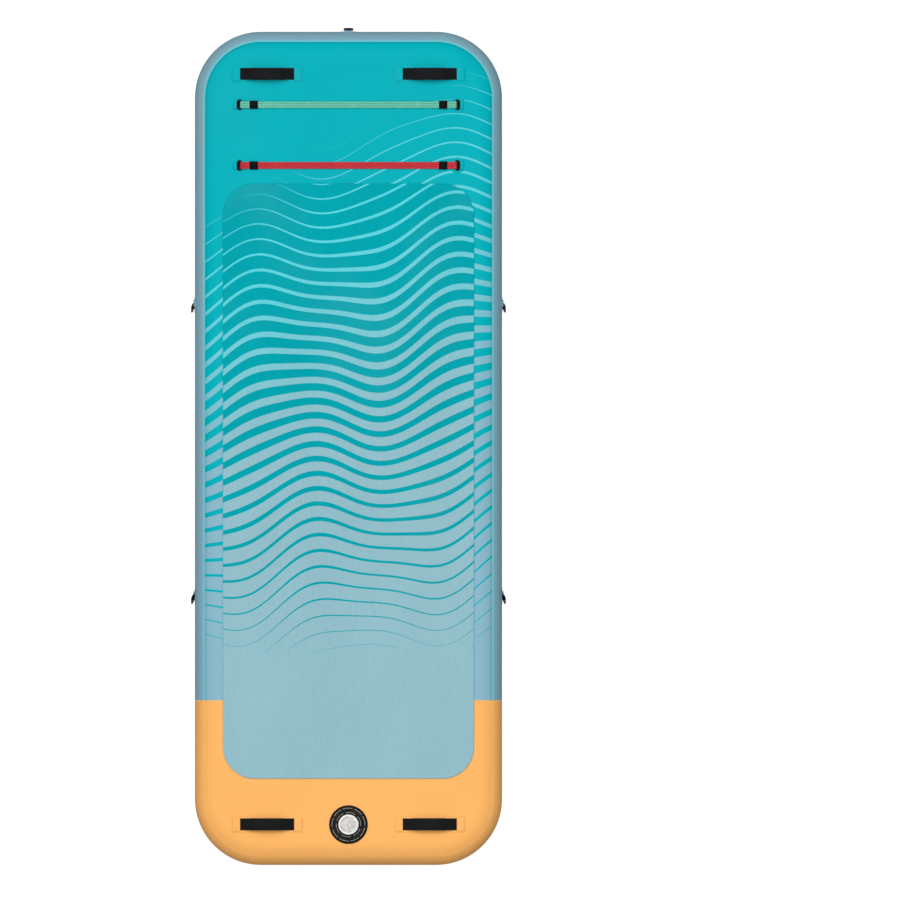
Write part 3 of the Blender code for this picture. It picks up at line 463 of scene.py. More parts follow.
brushed_foam, given, wanted = effect("brushed foam", "Place", {}, ("Height", "Tone"))
streaks = noise(given["Place"], 210.0, 3.0, (1.0, 0.16, 1.0))
cells = noise(given["Place"], 900.0, 2.0)
link(times_plus(streaks, 0.65, times(cells, 0.35)), wanted["Height"])
cloudy = noise(given["Place"], 5.0, 4.0, (1.0, 0.45, 1.0))
link(times_plus(cloudy, 0.45, times(streaks, 0.55)), wanted["Tone"])

pad_foam, sockets, place = new_material("brushed pad foam", 0.75, specular=0.02)
print_colour = rippled(place, dye(1, 163, 174), dye(88, 212, 223), dye(146, 189, 200), 0.37)
foam = applied(brushed_foam, {"Place": place})
used = applied(handling, {"Place": place, "Size": 1.3})
toned = scaled(print_colour, times_plus(foam["Tone"], 0.34, 0.83))
link(mixed(times(used["Dust"], 0.02), toned, DUST), sockets["Base Color"])
relief(sockets, foam["Height"], 0.0003)

half_y = (PAD_NOSE_Y - PAD_TAIL_Y) / 2
edge_start = PAD_THICKNESS + FIT_GAP - PAD_EDGE
levels = [(0.0, 0.0), (0.0, edge_start)]
for angle in (math.radians(step) for step in (18, 36, 54, 72, 90)):
    levels.append((PAD_EDGE * (1 - math.cos(angle)), edge_start + PAD_EDGE * math.sin(angle)))
rows = []
for inset, height in levels:
    corner, middle = PAD_CORNER_RADIUS - inset, (PAD_NOSE_Y + PAD_TAIL_Y) / 2
    ring = rounded(PAD_HALF_WIDTH - inset, half_y - inset, corner, 20, middle)
    rows.append([(x, y, DECK_Z + height) for x, y in ring])
pad = new_piece("grip_pad", loft(rows)[0], pad_foam, "board", stands_for=["deck_pad"])

# Soft handles. A strip of black webbing bows out of two pockets in a glued patch, and a padded sleeve is
# sewn round its middle. Four lie across the deck's corners and one lies lengthwise under the hull.

HANDLE_X = 0.244
NOSE_HANDLE_Y = 1.1237
TAIL_HANDLE_Y = -1.1282
HANDLE_RISE = 0.030
STRAP_WIDTH = 0.0355
STRAP_THICKNESS = 0.0018
BOW_LENGTH = 0.144
FOOT_LENGTH = 0.030
GRIP_LENGTH = 0.096
SLEEVE_WIDTH = 0.0366
GRIP_THICKNESS = 0.0105
CHANNEL_X = 0.0150
CHANNEL_SIZE = 0.0011
PATCH_SHEET = 0.0006
PATCH_HALF_LENGTH = 0.108
PATCH_HALF_WIDTH = 0.025
PATCH_TOP = FIT_GAP + PATCH_SHEET
POCKET_MOUTH = 0.0813
POCKET_ROOF_Z = 0.0041
POCKET_SLOPE = 0.0062
STRAP_FOOT_Z = 0.0024
THREAD_RADIUS = 0.00032
THREAD_SIDES = 6
LID_DRAW = 0.16
LID_DRAW_LENGTH = 0.009
LID_RIM = 0.0003
LID_ROWS = 18
LID_COLUMNS = 28


def set_frame(place, along, up):
    """The matrix of a piece whose X axis lies along one direction and whose Z axis points another way."""
    x = Vector(along).normalized()
    z = Vector(up).normalized()
    turn = Matrix((x, z.cross(x), z)).transposed().to_4x4()
    return Matrix.Translation(Vector(place)) @ turn


def bow_height(along):
    top = HANDLE_RISE - GRIP_THICKNESS / 2
    return STRAP_FOOT_Z + (top - STRAP_FOOT_Z) * (1 - (2 * along / BOW_LENGTH) ** 2)


def eased(share):
    return share * share * (3 - 2 * share)


def eased_way(start, end, steps):
    """The places between two others, on a curve that is level at both."""
    shares = [i / steps for i in range(1, steps)]
    return [(start[0] + (end[0] - start[0]) * s, start[1] + (end[1] - start[1]) * eased(s)) for s in shares]


def beside(path, distance):
    """The points beside a path in a plane, this far to its left."""
    points = []
    for i, point in enumerate(path):
        here = Vector(point)
        before = (here - Vector(path[i - 1])).normalized() if i else None
        after = (Vector(path[i + 1]) - here).normalized() if i + 1 < len(path) else None
        before = before or after
        after = after or before
        along = (before + after).normalized()
        left = Vector((-along.y, along.x))
        points.append(here + left * distance / max(0.3, along.dot(after)))
    return points


def lay_out(bm, lays):
    """Keeps each vertex's place across and along the cloth before it was bent, for its weave."""
    lay = bm.verts.layers.float_vector.new("lay")
    bm.verts.ensure_lookup_table()
    for vert, cloth in zip(bm.verts, lays):
        vert[lay] = cloth
    return bm


def swept(path, section):
    """A strip along a path of (y, z) points from a section of (x, height) points."""
    levels = {height: beside(path, height) for height in {height for _, height in section}}
    bm, _ = loft([[(x, *levels[height][i]) for x, height in section] for i in range(len(path))])
    runs = [0.0]
    for before, after in zip(path, path[1:]):
        runs.append(runs[-1] + (Vector(after) - Vector(before)).length)
    return lay_out(bm, [(x, run, height) for run in runs for x, height in section])


def webbing_section(width, thickness):
    """Flat webbing with round edges."""
    half, radius = width / 2, thickness / 2
    angles = [math.radians(degrees) for degrees in (-90, -54, -18, 18, 54, 90)]
    right = [(half - radius + radius * math.cos(a), radius * math.sin(a)) for a in angles]
    inner = [(half * share, radius) for share in (0.6, 0.2, -0.2, -0.6)]
    left = [(-x, height) for x, height in reversed(right)]
    return right + inner + left + [(-x, -height) for x, height in inner]


# Webbing has ribs across it in a twill that turns at its middle, and a smoother selvedge at each edge
woven_strap, given, wanted = effect(
    "woven strap", "Lay", {"Rib": 0.0016, "Half width": 0.0178}, ("Height", "Edge")
)
axes = split(given["Lay"])
across = maths("ABSOLUTE", axes["X"])
edge = minus(given["Half width"], across)
twill = maths("DIVIDE", maths("ADD", axes["Y"], maths("PINGPONG", across, 0.0045)), given["Rib"])
rib = times_plus(maths("SINE", times(twill, math.tau)), 0.35, 0.5)
link(times_plus(wave(axes["X"], 0.00115), 0.15, rib), wanted["Height"])
link(spread(edge, 0.0022, 0.0012), wanted["Edge"])


def woven_lay(place):
    return node("Attribute", {}, "Vector", place.id_data, attribute_name="lay")


def webbing_cloth(name, colour, sheen_and_fade_colour, half_width):
    finish, sockets, place = new_material(
        name, 0.78, specular=0.12, Sheen_Weight=0.04, Sheen_Roughness=0.5
    )
    weave = applied(woven_strap, {"Lay": woven_lay(place), "Half width": half_width})
    # Painted sheen: the tops of the ribs and the smoother selvedges are paler, and random patches are faded
    # paler
    lit = mixed(times(weave["Height"], 0.7), colour, sheen_and_fade_colour)
    faded = mixed(spread(noise(place, 160.0, 3.0), 0.5, 0.9, 0.0, 0.35), lit, sheen_and_fade_colour)
    link(mixed(times(weave["Edge"], 0.4), faded, sheen_and_fade_colour), sockets["Base Color"])
    relief(sockets, weave["Height"], 0.00025)
    return finish


strap_cloth = webbing_cloth("black strap webbing", dye(7, 9, 10), dye(27, 30, 32), STRAP_WIDTH / 2)

# The padded sleeve is knit cloth over foam, finer than the webbing
sleeve_cloth, sockets, place = new_material(
    "padded sleeve cloth", 0.72, specular=0.12, Sheen_Weight=0.05, Sheen_Roughness=0.45
)
axes = split(woven_lay(place))
knit = times_plus(times(wave(axes["X"], 0.0010), wave(axes["Y"], 0.0013)), 0.4, 0.5)
height = times_plus(noise(place, 700.0, 3.0), 0.4, times(knit, 0.6))
lit = mixed(times(height, 0.55), dye(6, 8, 9), dye(27, 30, 32))
rubbed = spread(noise(place, 90.0, 4.0), 0.52, 0.85, 0.0, 0.25)
link(mixed(rubbed, lit, dye(44, 47, 49)), sockets["Base Color"])
relief(sockets, height, 0.0002)

# Bonded sewing thread, twisted of three plies
sewing_thread = grained(
    "bonded sewing thread", 0.55, 0.35, 1500.0, 1.0, dye(22, 24, 26), dye(62, 65, 68), 0.0001
)


def patch_cloth(name, colour):
    """Coated cloth of a glued patch, finer than the skins'."""
    finish, sockets, place = new_material(name, 0.42, specular=0.03)
    coat(sockets, place, colour, thread=0.0009, dimple=0.004, size=3.0, grime=0.02)
    return finish


patch_teal = patch_cloth("teal patch cloth", dye(2, 177, 188))
patch_orange = patch_cloth("orange patch cloth", dye(252, 183, 103))


def sleeve_crown(x):
    """Half the sleeve's thickness at this place across it, without its channels."""
    return GRIP_THICKNESS / 2 * (1 - (abs(x) / (SLEEVE_WIDTH / 2)) ** 4.5) ** 0.5


def sleeve_section():
    """Half the sleeve's thickness across its width: a full crown between two stitched channels, and a
    thinner sewn edge outside them."""
    top = []
    for x in (SLEEVE_WIDTH / 2 * math.sin(math.radians(a)) for a in range(-90, 91, 6)):
        channel = CHANNEL_SIZE * math.exp(-(((abs(x) - CHANNEL_X) / CHANNEL_SIZE) ** 2))
        top.append((x, max(0.0, sleeve_crown(x) - channel)))
    return top


def stitch(bm, start, end, lift):
    """One stitch: a short thread that dips into the cloth at both ends."""
    lift = lift.normalized()
    side = (end - start).normalized().cross(lift).normalized()
    rings = []
    dip, shoulder, crown = (-0.7, 0.6), (0.25, 1.0), (0.55, 1.0)
    for share, (rise, size) in ((0.0, dip), (0.18, shoulder), (0.5, crown), (0.82, shoulder), (1.0, dip)):
        middle = start.lerp(end, share) + lift * rise * THREAD_RADIUS
        turned = [side * math.cos(a) + lift * math.sin(a) for a in round_turn(THREAD_SIDES)]
        rings.append([middle + out * size * THREAD_RADIUS for out in turned])
    loft(rings, bm=bm)


def stitch_line(bm, points, lifts, pitch=0.0036, gap=0.0008):
    """Stitches along a line of points, each with the direction out of the cloth there."""
    points, lifts = ([Vector(place) for place in line] for line in (points, lifts))
    lengths = [0.0]
    for a, b in zip(points, points[1:]):
        lengths.append(lengths[-1] + (b - a).length)

    def at(run):
        for i in range(len(points) - 1):
            if run <= lengths[i + 1] or i == len(points) - 2:
                share = (run - lengths[i]) / max(1e-9, lengths[i + 1] - lengths[i])
                return points[i].lerp(points[i + 1], share), lifts[i].lerp(lifts[i + 1], share)

    count = max(1, round(lengths[-1] / pitch))
    for k in range(count):
        start, lift = at(lengths[-1] * k / count + gap / 2)
        end, _ = at(lengths[-1] * (k + 1) / count - gap / 2)
        stitch(bm, start, end, lift)


def lid(bm, side, mouth, end, half_cloth, slope, roof):
    """Adds a sheet over the end of a strap: open at its mouth, full over the strap and drawn down to the
    patch beside and behind it."""
    reach = half_cloth + slope
    rim = PATCH_TOP + LID_RIM
    rows = []
    for step in range(LID_ROWS + 1):
        along = mouth + (end - mouth) * step / LID_ROWS
        past = min(1.0, max(0.0, 1 - (end - along) / slope))
        narrow = 1 - LID_DRAW * max(0.0, 1 - (end - along) / LID_DRAW_LENGTH) ** 2
        top, low = [], []
        for x in (reach * (2 * i / LID_COLUMNS - 1) for i in range(LID_COLUMNS + 1)):
            full = eased(min(1.0, (reach - abs(x)) / slope)) * (1 - eased(past))
            height = rim + (roof - rim) * full
            top.append((x * narrow, side * along, height))
            low.append((x * narrow, side * along, max(PATCH_TOP - 0.0002, height - PATCH_SHEET)))
        rows.append(top + low[::-1])
    loft(rows, bm=bm)


def patch_mesh():
    """A glued sheet with rounded corners, and a lid of the same sheet over each of the strap's feet."""
    rows = []
    for inset, height in ((0.0, 0.0), (0.0, 0.0002), (0.0009, 0.0006), (0.0018, PATCH_TOP)):
        ring = rounded(PATCH_HALF_WIDTH - inset, PATCH_HALF_LENGTH - inset, 0.009 - inset, 8)
        rows.append([(x, y, height) for x, y in ring])
    bm, _ = loft(rows)
    for side in (1, -1):
        end, half_cloth = PATCH_HALF_LENGTH - 0.0009, STRAP_WIDTH / 2 + 0.0004
        lid(bm, side, POCKET_MOUTH, end, half_cloth, POCKET_SLOPE, POCKET_ROOF_Z)
    return bm


def handle(name, place, patch_finish):
    """One handle in a frame with its length along Y and the board's surface at height zero."""
    press, body = f"{name}_press", f"{name}_grip"
    patch = patch_mesh()
    new_piece(f"{name}_glued_patch", patch, patch_finish, "board", place, [f"{name}_patch"])
    reach = BOW_LENGTH / 2 + FOOT_LENGTH
    foot_steps = [-reach, -reach + 0.012, -reach + 0.024]
    bow_steps = [BOW_LENGTH * (i / 48 - 0.5) for i in range(49)]
    path = [(y, STRAP_FOOT_Z) for y in foot_steps] + [(y, bow_height(y)) for y in bow_steps]
    path += [(-y, STRAP_FOOT_Z) for y in reversed(foot_steps)]
    bm = swept(path, webbing_section(STRAP_WIDTH, STRAP_THICKNESS))
    strap = new_piece(f"{name}_webbing", bm, strap_cloth, "board", place, [f"{name}_strap"])
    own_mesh(strap)

    # The sleeve's ends are drawn in to the strap
    section = sleeve_section()
    half = GRIP_LENGTH / 2
    steps = [half * math.sin(math.radians(a)) for a in range(-90, 91, 5)]
    path = [(y, bow_height(y)) for y in steps]
    normals, rows, lays = [], [], []
    for i, (y, z) in enumerate(path):
        before, after = path[max(0, i - 1)], path[min(len(path) - 1, i + 1)]
        along = (Vector(after) - Vector(before)).normalized()
        normals.append(Vector((-along.y, along.x)))
        end = min(1.0, (half - abs(y)) / 0.0075)
        full = 0.62 + 0.38 * math.sqrt(max(0.0, 1 - (1 - end) ** 2))
        ripple = 1 + 0.018 * math.sin(y * 310 + 1.3) * end
        row = []
        for side, columns in ((1, section), (-1, section[::-1])):
            for x, height in columns:
                h = side * max(STRAP_THICKNESS / 2 + 0.0004, height * full * ripple)
                row.append((x, y + normals[i].x * h, z + normals[i].y * h))
                lays.append((x, y, h))
        rows.append(row)
    bm, grid = loft(rows, caps=False)
    count = len(section)
    for line in (grid[0], grid[-1]):
        for k in range(count - 1):
            bm.faces.new((line[k], line[k + 1], line[2 * count - 2 - k], line[2 * count - 1 - k]))
    lay_out(bm, lays)
    grip = new_piece(f"{name}_sleeve", bm, sleeve_cloth, body, place, [body])
    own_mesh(grip)

    threads = bmesh.new()
    sewn = [(point, out) for point, out in zip(path, normals) if abs(point[0]) < half - 0.004]
    for x in (-CHANNEL_X, CHANNEL_X):
        for side in (1, -1):
            level = side * (sleeve_crown(CHANNEL_X) - 0.0009)
            points = [(x, y + out.x * level, z + out.y * level) for (y, z), out in sewn]
            stitch_line(threads, points, [(0, side * out.x, side * out.y) for _, out in sewn])
    seams = new_piece(f"{name}_stitching", threads, sewing_thread, body, place)
    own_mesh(seams)


SIDES = (("left", -1), ("right", 1))
for side, sign in SIDES:
    for end, y, finish, slot in (
        ("nose", NOSE_HANDLE_Y, patch_teal, "patch_teal"),
        ("tail", TAIL_HANDLE_Y, patch_orange, "patch_orange"),
    ):
        place = set_frame((sign * HANDLE_X, y, DECK_Z), (0, -1, 0), (0, 0, 1))
        handle(f"{end}_handle_{side}", place, finish)
place = set_frame((0, 0, HULL_Z), (1, 0, 0), (0, 0, -1))
handle("carry_handle", place, patch_teal)

# Rings and their tabs. Each moulded black ring hangs by its straight bar in a loop of webbing, whose ends
# lie under the raised cover of a round glued patch. Five sit on the side walls, four hold the bands.

WIRE_RADIUS = 0.002
WIRE_SIDES = 16
RAIL_RING_SIZE = (0.030, 0.014)
RAIL_RING_YS = {"fore": 0.4254, "aft": -0.4488}
RAIL_RING_TURN = math.radians(45)
RAIL_RING_TILT = math.radians(20)
BAND_RING_WIDTH = 0.032
BAND_RING_DEPTH = 0.0095
RING_BAR_CORNER = 0.0032
RING_FAR_CORNER = 0.005
BAR_HEIGHT = 0.0048
RAIL_LOOP_WIDTH = 0.019
BAND_LOOP_WIDTH = 0.022
LOOP_THICKNESS = 0.0015
LOOP_RADIUS = 0.0038
LOOP_BASE = 0.0010
RAIL_PATCH = (0.024, -0.007)
RAIL_LOOP = (0.0165, 0.0080, 0.0090, 0.0030, math.radians(112))
BAND_PATCH = (0.024, 0.004)
BAND_LOOP = (0.0110, 0.0052, 0.0048, 0.0051, math.radians(158))

moulded_plastic, given, wanted = effect("moulded plastic", "Place", {"Grain": 1400.0}, ("Height", "Worn"))
link(noise(given["Place"], given["Grain"], 2.0), wanted["Height"])
link(spread(noise(given["Place"], 120.0, 4.0), 0.55, 0.80), wanted["Worn"])


def plastic(name, colour, worn_colour, roughness, specular=0.18, grain=1400.0, depth=0.00004, paint=None):
    """Moulded plastic with a fine grain that is polished and paler where it rubs."""
    finish, sockets, place = new_material(name, roughness, specular=specular)
    cast = applied(moulded_plastic, {"Place": place, "Grain": grain})
    base = paint(place) if paint else colour
    link(mixed(times(cast["Worn"], 0.5), base, worn_colour), sockets["Base Color"])
    link(times_plus(cast["Worn"], -0.10, roughness), sockets["Roughness"])
    relief(sockets, cast["Height"], depth)
    return finish


ring_plastic = plastic("black ring plastic", dye(5, 6, 6), dye(20, 22, 23), 0.50, specular=0.10)
loop_cloth = webbing_cloth("black loop webbing", dye(8, 9, 10), dye(28, 30, 33), RAIL_LOOP_WIDTH / 2)
patch_blue = patch_cloth("blue patch cloth", dye(131, 175, 191))


def arc(centre, radii, start, end, steps):
    angles = (start + (end - start) * i / steps for i in range(steps + 1))
    return [(centre[0] + radii[0] * math.cos(a), centre[1] + radii[1] * math.sin(a)) for a in angles]


def ring_mesh(width, depth):
    """A closed ring of round wire with its bar along X, in the XY plane."""
    half = width / 2 - WIRE_RADIUS
    near, far = half - RING_BAR_CORNER, half - RING_FAR_CORNER
    points = []
    for quarter, (x, radius, y) in enumerate((
        (near, RING_BAR_CORNER, RING_BAR_CORNER),
        (far, RING_FAR_CORNER, depth - RING_FAR_CORNER),
        (-far, RING_FAR_CORNER, depth - RING_FAR_CORNER),
        (-near, RING_BAR_CORNER, RING_BAR_CORNER),
    )):
        start = (quarter - 1) * math.pi / 2
        points += arc((x, y), (radius, radius), start, start + math.pi / 2, 9)
    wire = WIRE_RADIUS * 0.995
    rows = []
    for i, (x, y) in enumerate(points):
        along = (Vector(points[(i + 1) % len(points)]) - Vector(points[i - 1])).normalized()
        rows.append([])
        for a in round_turn(WIRE_SIDES):
            out = wire * math.cos(a)
            rows[-1].append((x + along.y * out, y - along.x * out, wire * math.sin(a)))
    return loft(rows, closed_along=True)[0]


def laid(bm, along, flat_from=None):
    """Lays a flat shape on the round rail. Along is the rail's straight direction, or none on the deck."""
    if along is None:
        return
    across = Vector((-along.y, along.x))
    for vert in bm.verts:
        reach = across.dot(vert.co.xy)
        share = 1.0 if flat_from is None else min(1.0, max(0.0, (flat_from - vert.co.y) / LOOP_RADIUS))
        vert.co.z -= (RAIL_RADIUS - math.sqrt(RAIL_RADIUS * RAIL_RADIUS - reach * reach)) * share


def loop_path(tail, landing, reach, turned):
    """Webbing that lies on the patch, passes round the bar and comes back over itself."""
    middle = LOOP_RADIUS - LOOP_THICKNESS / 2
    low = LOOP_THICKNESS / 2
    high = low + LOOP_THICKNESS + FIT_GAP * 0.6
    turn = arc((0, LOOP_RADIUS), (reach, middle), -math.pi / 2, math.pi / 2, 12)
    turn += arc((0, LOOP_RADIUS), (middle, middle), math.pi / 2, turned, 6)[1:]
    last = turn[-1]
    # The upper layer comes down on the lower one in an easy curve
    down = eased_way(last, (-landing, high), 8)
    lower = [(-tail * (1 - step / 6), low) for step in range(6)]
    upper = [(-landing - step * (tail - landing) / 4, high) for step in range(5)]
    return [*lower, *turn, *down, *upper]


def tab_and_ring(ring, tab, place, webbing, size, tilt, patch, loop, patch_finish, patch_slot, straight=None):
    """A tab in a frame whose ring's bar lies along X and whose ring reaches towards +Y. Size is the ring's
    width and depth, patch the radius of its disc and the disc's place along Y, and loop the way of its
    webbing from the bar to its end, to where its layers meet, to the mouth of its cover and to its fold's
    middle line, and the angle that it turns round the bar before it comes down."""
    patch_radius, shift = patch
    tail, landing, mouth, reach, turned = loop
    edge = [(1.0, 0.0), (1.0, 0.0002), (0.96, 0.0006)]
    rows = []
    for share, height in edge + [(inner, PATCH_TOP) for inner in (0.92, 0.8, 0.6, 0.4, 0.2, 0.02)]:
        circle = arc((0, shift), (patch_radius * share, patch_radius * share), 0, math.tau, 56)[:-1]
        rows.append([(x, y, height) for x, y in circle])
    bm, _ = loft(rows)
    lid(bm, -1, mouth, tail + 0.0045, webbing / 2 + 0.0004, 0.0040, LOOP_BASE + 2 * LOOP_THICKNESS + 0.0007)
    laid(bm, straight)
    new_piece(f"{tab}_patch", bm, patch_finish, "board", place, [tab])

    bm = swept(loop_path(tail, landing, reach, turned), webbing_section(webbing, LOOP_THICKNESS))
    bmesh.ops.translate(bm, vec=(0, 0, LOOP_BASE), verts=bm.verts)
    laid(bm, straight, -LOOP_RADIUS)
    new_piece(f"{tab}_loop", bm, loop_cloth, "board", place, [tab])

    # The cover is sewn down beside the webbing and behind it
    threads = bmesh.new()
    side, behind = webbing / 2 + 0.0048, tail + 0.0050
    line = [(side, -mouth), (side, 0.004 - behind), (side * 0.94, 0.002 - behind), (side * 0.6, -behind)]
    line = [(x, y, PATCH_TOP) for x, y in line + [(-x, y) for x, y in reversed(line)]]
    stitch_line(threads, line, [(0, 0, 1)] * len(line), pitch=0.0026, gap=0.0006)
    laid(threads, straight)
    new_piece(f"{tab}_stitching", threads, patch_finish, "board", place)

    on_bar = place @ Matrix.Translation((0, 0, BAR_HEIGHT)) @ Matrix.Rotation(tilt, 4, "X")
    new_piece(f"{ring}_moulding", ring_mesh(*size), ring_plastic, ring, on_bar, [ring])


rail_rings = {"nose_ring": ((0, HALF_LENGTH, RAIL_Z), (0, 0, -1), (0, 1, 0))}
slant = math.sin(RAIL_RING_TURN)
for side, sign in SIDES:
    for (end, ring_y), down in zip(RAIL_RING_YS.items(), (1, -1)):
        point = (sign * HALF_WIDTH, ring_y, RAIL_Z)
        rail_rings[f"{end}_ring_{side}"] = (point, (0, -slant, -down * slant), (sign, 0, 0))
for name, (point, points_to, normal) in rail_rings.items():
    place = set_frame(point, Vector(points_to).cross(Vector(normal)), normal)
    along = Vector((1, 0, 0)) if name == "nose_ring" else Vector((0, 1, 0))
    straight = (place.to_3x3().transposed() @ along).xy.normalized()
    shape = (RAIL_LOOP_WIDTH, RAIL_RING_SIZE, RAIL_RING_TILT, RAIL_PATCH, RAIL_LOOP)
    tab_and_ring(name, f"{name}_tab", place, *shape, patch_blue, "patch_blue", straight)

# Resistance bands. Two flat elastic bands are stretched across the fore deck. Each end is folded round a
# ring and held by a three-bar slide, so that a user can tighten the band and hold it while exercising.

BAND_YS = {"green": 1.031, "red": 0.849}
BAND_RING_X = 0.331
BAND_WIDTH = 0.0205
BAND_THICKNESS = 0.0012
BAND_HEIGHT = 0.00405
BAND_FOLD_LOW = 0.0021
BAND_FOLD_HIGH = 0.0101
BAND_FOLD_MIDDLE = (BAND_FOLD_LOW + BAND_FOLD_HIGH) / 2
BAND_LOOP_REACH = 0.0029
BAND_RING_TILT = math.asin((BAND_FOLD_MIDDLE - BAR_HEIGHT) / BAND_RING_DEPTH)
SLIDER_X = 0.2842
SLIDER_LENGTH = 0.025
SLIDER_WALL = 0.0016
SLIDER_ROOM = 0.005
STUB_LENGTH = 0.024
RIB_INSET = 0.001
RIB_HALF_WIDTH = 0.0005
RIB_HEIGHT = 0.00035


def elastic_cloth(name, dark, plain, light):
    """Covered rubber cords side by side under a close cross weave, with paler stripes three cords apart and
    painted shade in the grooves between the cords.
    """
    finish, sockets, place = new_material(
        name, 0.66, specular=0.12, Sheen_Weight=0.06, Sheen_Roughness=0.4
    )
    axes = split(woven_lay(place))
    cords = wave(axes["X"], 0.0022)
    height = times_plus(cords, 0.34, times_plus(wave(axes["Y"], 0.0011), 0.12, 0.5))
    # Painted shade: darker in the grooves between the cords, where the relief is lowest
    ribbed = mixed(spread(cords, -0.9, 0.6), dark, plain)
    striped = mixed(spread(wave(axes["X"], 0.0066, "COSINE"), 0.2, 0.9, 0.0, 0.6), ribbed, light)
    uneven = spread(noise(place, 26.0, 3.0), 0.45, 0.9, 0.0, 0.3)
    link(mixed(uneven, striped, light), sockets["Base Color"])
    relief(sockets, height, 0.0003)
    return finish


band_cloths = {
    "green": elastic_cloth("green elastic", dye(60, 154, 128), dye(98, 194, 169), dye(148, 218, 194)),
    "red": elastic_cloth("red elastic", dye(160, 24, 36), dye(204, 40, 54), dye(222, 78, 88)),
}


def band_path():
    """Stub, fold round one ring, the long stretch, fold round the other ring and stub."""
    centre = (BAND_RING_X - BAND_RING_DEPTH * math.cos(BAND_RING_TILT), BAND_FOLD_MIDDLE)
    radii = (BAND_LOOP_REACH, (BAND_FOLD_HIGH - BAND_FOLD_LOW) / 2)
    fold = arc(centre, radii, math.pi / 2, -math.pi / 2, 14)
    upper = BAND_HEIGHT + BAND_THICKNESS + FIT_GAP
    meet = SLIDER_X + SLIDER_LENGTH / 2 + SLIDER_ROOM
    stub = SLIDER_X - SLIDER_LENGTH / 2 - STUB_LENGTH
    right = [(stub, upper), (SLIDER_X, upper), (meet, upper), *eased_way((meet, upper), fold[0], 7), *fold]
    right += [*eased_way(fold[-1], (meet, BAND_HEIGHT), 7), (meet, BAND_HEIGHT), (SLIDER_X, BAND_HEIGHT)]
    stretch = [(x / 10 * (SLIDER_X - 0.03), BAND_HEIGHT) for x in range(9, -10, -1)]
    return right + stretch + [(-x, z) for x, z in reversed(right)]


def block_solid(xs, ys, zs, filled):
    """The outside of the filled cells of a grid whose lines are at xs, ys and zs."""
    bm = bmesh.new()
    corners = {}
    sizes = [len(lines) - 1 for lines in (xs, ys, zs)]
    square = ((0, 0), (1, 0), (1, 1), (0, 1))

    def corner(at):
        if at not in corners:
            corners[at] = bm.verts.new((xs[at[0]], ys[at[1]], zs[at[2]]))
        return corners[at]

    def solid(cell):
        return all(0 <= place < size for place, size in zip(cell, sizes)) and filled(*cell)

    cells = [(i, j, k) for i in range(sizes[0]) for j in range(sizes[1]) for k in range(sizes[2])]
    for cell in filter(solid, cells):
        for side in (0, 1):
            for axis in range(3):
                beyond = list(cell)
                beyond[axis] += 2 * side - 1
                if solid(beyond):
                    continue
                face = []
                for steps in square:
                    offset = list(steps)
                    offset.insert(axis, side)
                    face.append(corner(tuple(c + o for c, o in zip(cell, offset))))
                bm.faces.new(face)
    return bm


def slide_mesh():
    """A moulded slide with rounded edges: a plate over the band with ribs across it, and a bar under."""
    half = SLIDER_LENGTH / 2
    inside = BAND_WIDTH / 2 + FIT_GAP
    outside = inside + SLIDER_WALL
    under = BAND_HEIGHT - BAND_THICKNESS / 2 - FIT_GAP
    over = BAND_HEIGHT + BAND_THICKNESS * 1.5 + 2 * FIT_GAP
    ys = [-half, -0.004, -0.0015, 0.0015, 0.004, half]
    zs = [under - SLIDER_WALL, under, over, over + SLIDER_WALL]

    def filled(i, j, k):
        return i != 1 or k == 2 or (k == 0 and j in (1, 2, 3))

    bm = block_solid([-outside, -inside, inside, outside], ys, zs, filled)
    bmesh.ops.recalc_face_normals(bm, faces=bm.faces)
    bmesh.ops.dissolve_limit(bm, angle_limit=math.radians(1), verts=bm.verts, edges=bm.edges)
    corners = [e for e in bm.edges if len(e.link_faces) == 2 and e.is_convex]
    sharp = [e for e in corners if e.calc_face_angle() > SHARP_ANGLE]
    bmesh.ops.bevel(
        bm, geom=sharp, offset=0.0005, segments=2, profile=0.6, affect="EDGES", clamp_overlap=True
    )
    reach = inside - RIB_INSET
    for y in (-0.0100, -0.0075, -0.0050, 0.0050, 0.0075, 0.0100):
        rows = []
        for x in (-reach + 2 * reach * i / 8 for i in range(9)):
            end = min(1.0, (reach - abs(x)) / 0.0015 + 0.3)
            width, rise = RIB_HALF_WIDTH * end, RIB_HEIGHT * end
            top = over + SLIDER_WALL
            rows.append([(x, y + width * math.cos(a), top + rise * math.sin(a)) for a in round_turn(8)])
        loft(rows, bm=bm)
    return bm


slide_plastic = plastic("black slide plastic", dye(3, 4, 4), dye(14, 15, 16), 0.60, specular=0.08)
for colour, band_y in BAND_YS.items():
    band = f"band_{colour}"
    across = set_frame((0, band_y, DECK_Z), (0, -1, 0), (0, 0, 1))
    bm = swept(band_path(), webbing_section(BAND_WIDTH, BAND_THICKNESS))
    new_piece(f"{band}_elastic", bm, band_cloths[colour], "board", across, [band])
    for side, sign in SIDES:
        place = set_frame((sign * BAND_RING_X, band_y, DECK_Z), (0, -sign, 0), (0, 0, 1))
        inward = place @ Matrix.Rotation(math.pi, 4, "Z")
        shape = (BAND_LOOP_WIDTH, (BAND_RING_WIDTH, BAND_RING_DEPTH), BAND_RING_TILT, BAND_PATCH, BAND_LOOP)
        tab_and_ring(f"{band}_ring_{side}", f"{band}_tab_{side}", inward, *shape, patch_teal, "patch_teal")
        slider = f"{band}_slider_{side}"
        on_band = set_frame((sign * SLIDER_X, band_y, DECK_Z), (0, -1, 0), (0, 0, 1))
        bm = slide_mesh()
        new_piece(f"{slider}_moulding", bm, slide_plastic, slider, on_band, [slider])

# Inflation valve. A black moulded ring covers the valve's flange on the tail deck, and a pale ribbed cap
# is screwed down in it. Under the cap the valve is a black barrel with a sprung push button.

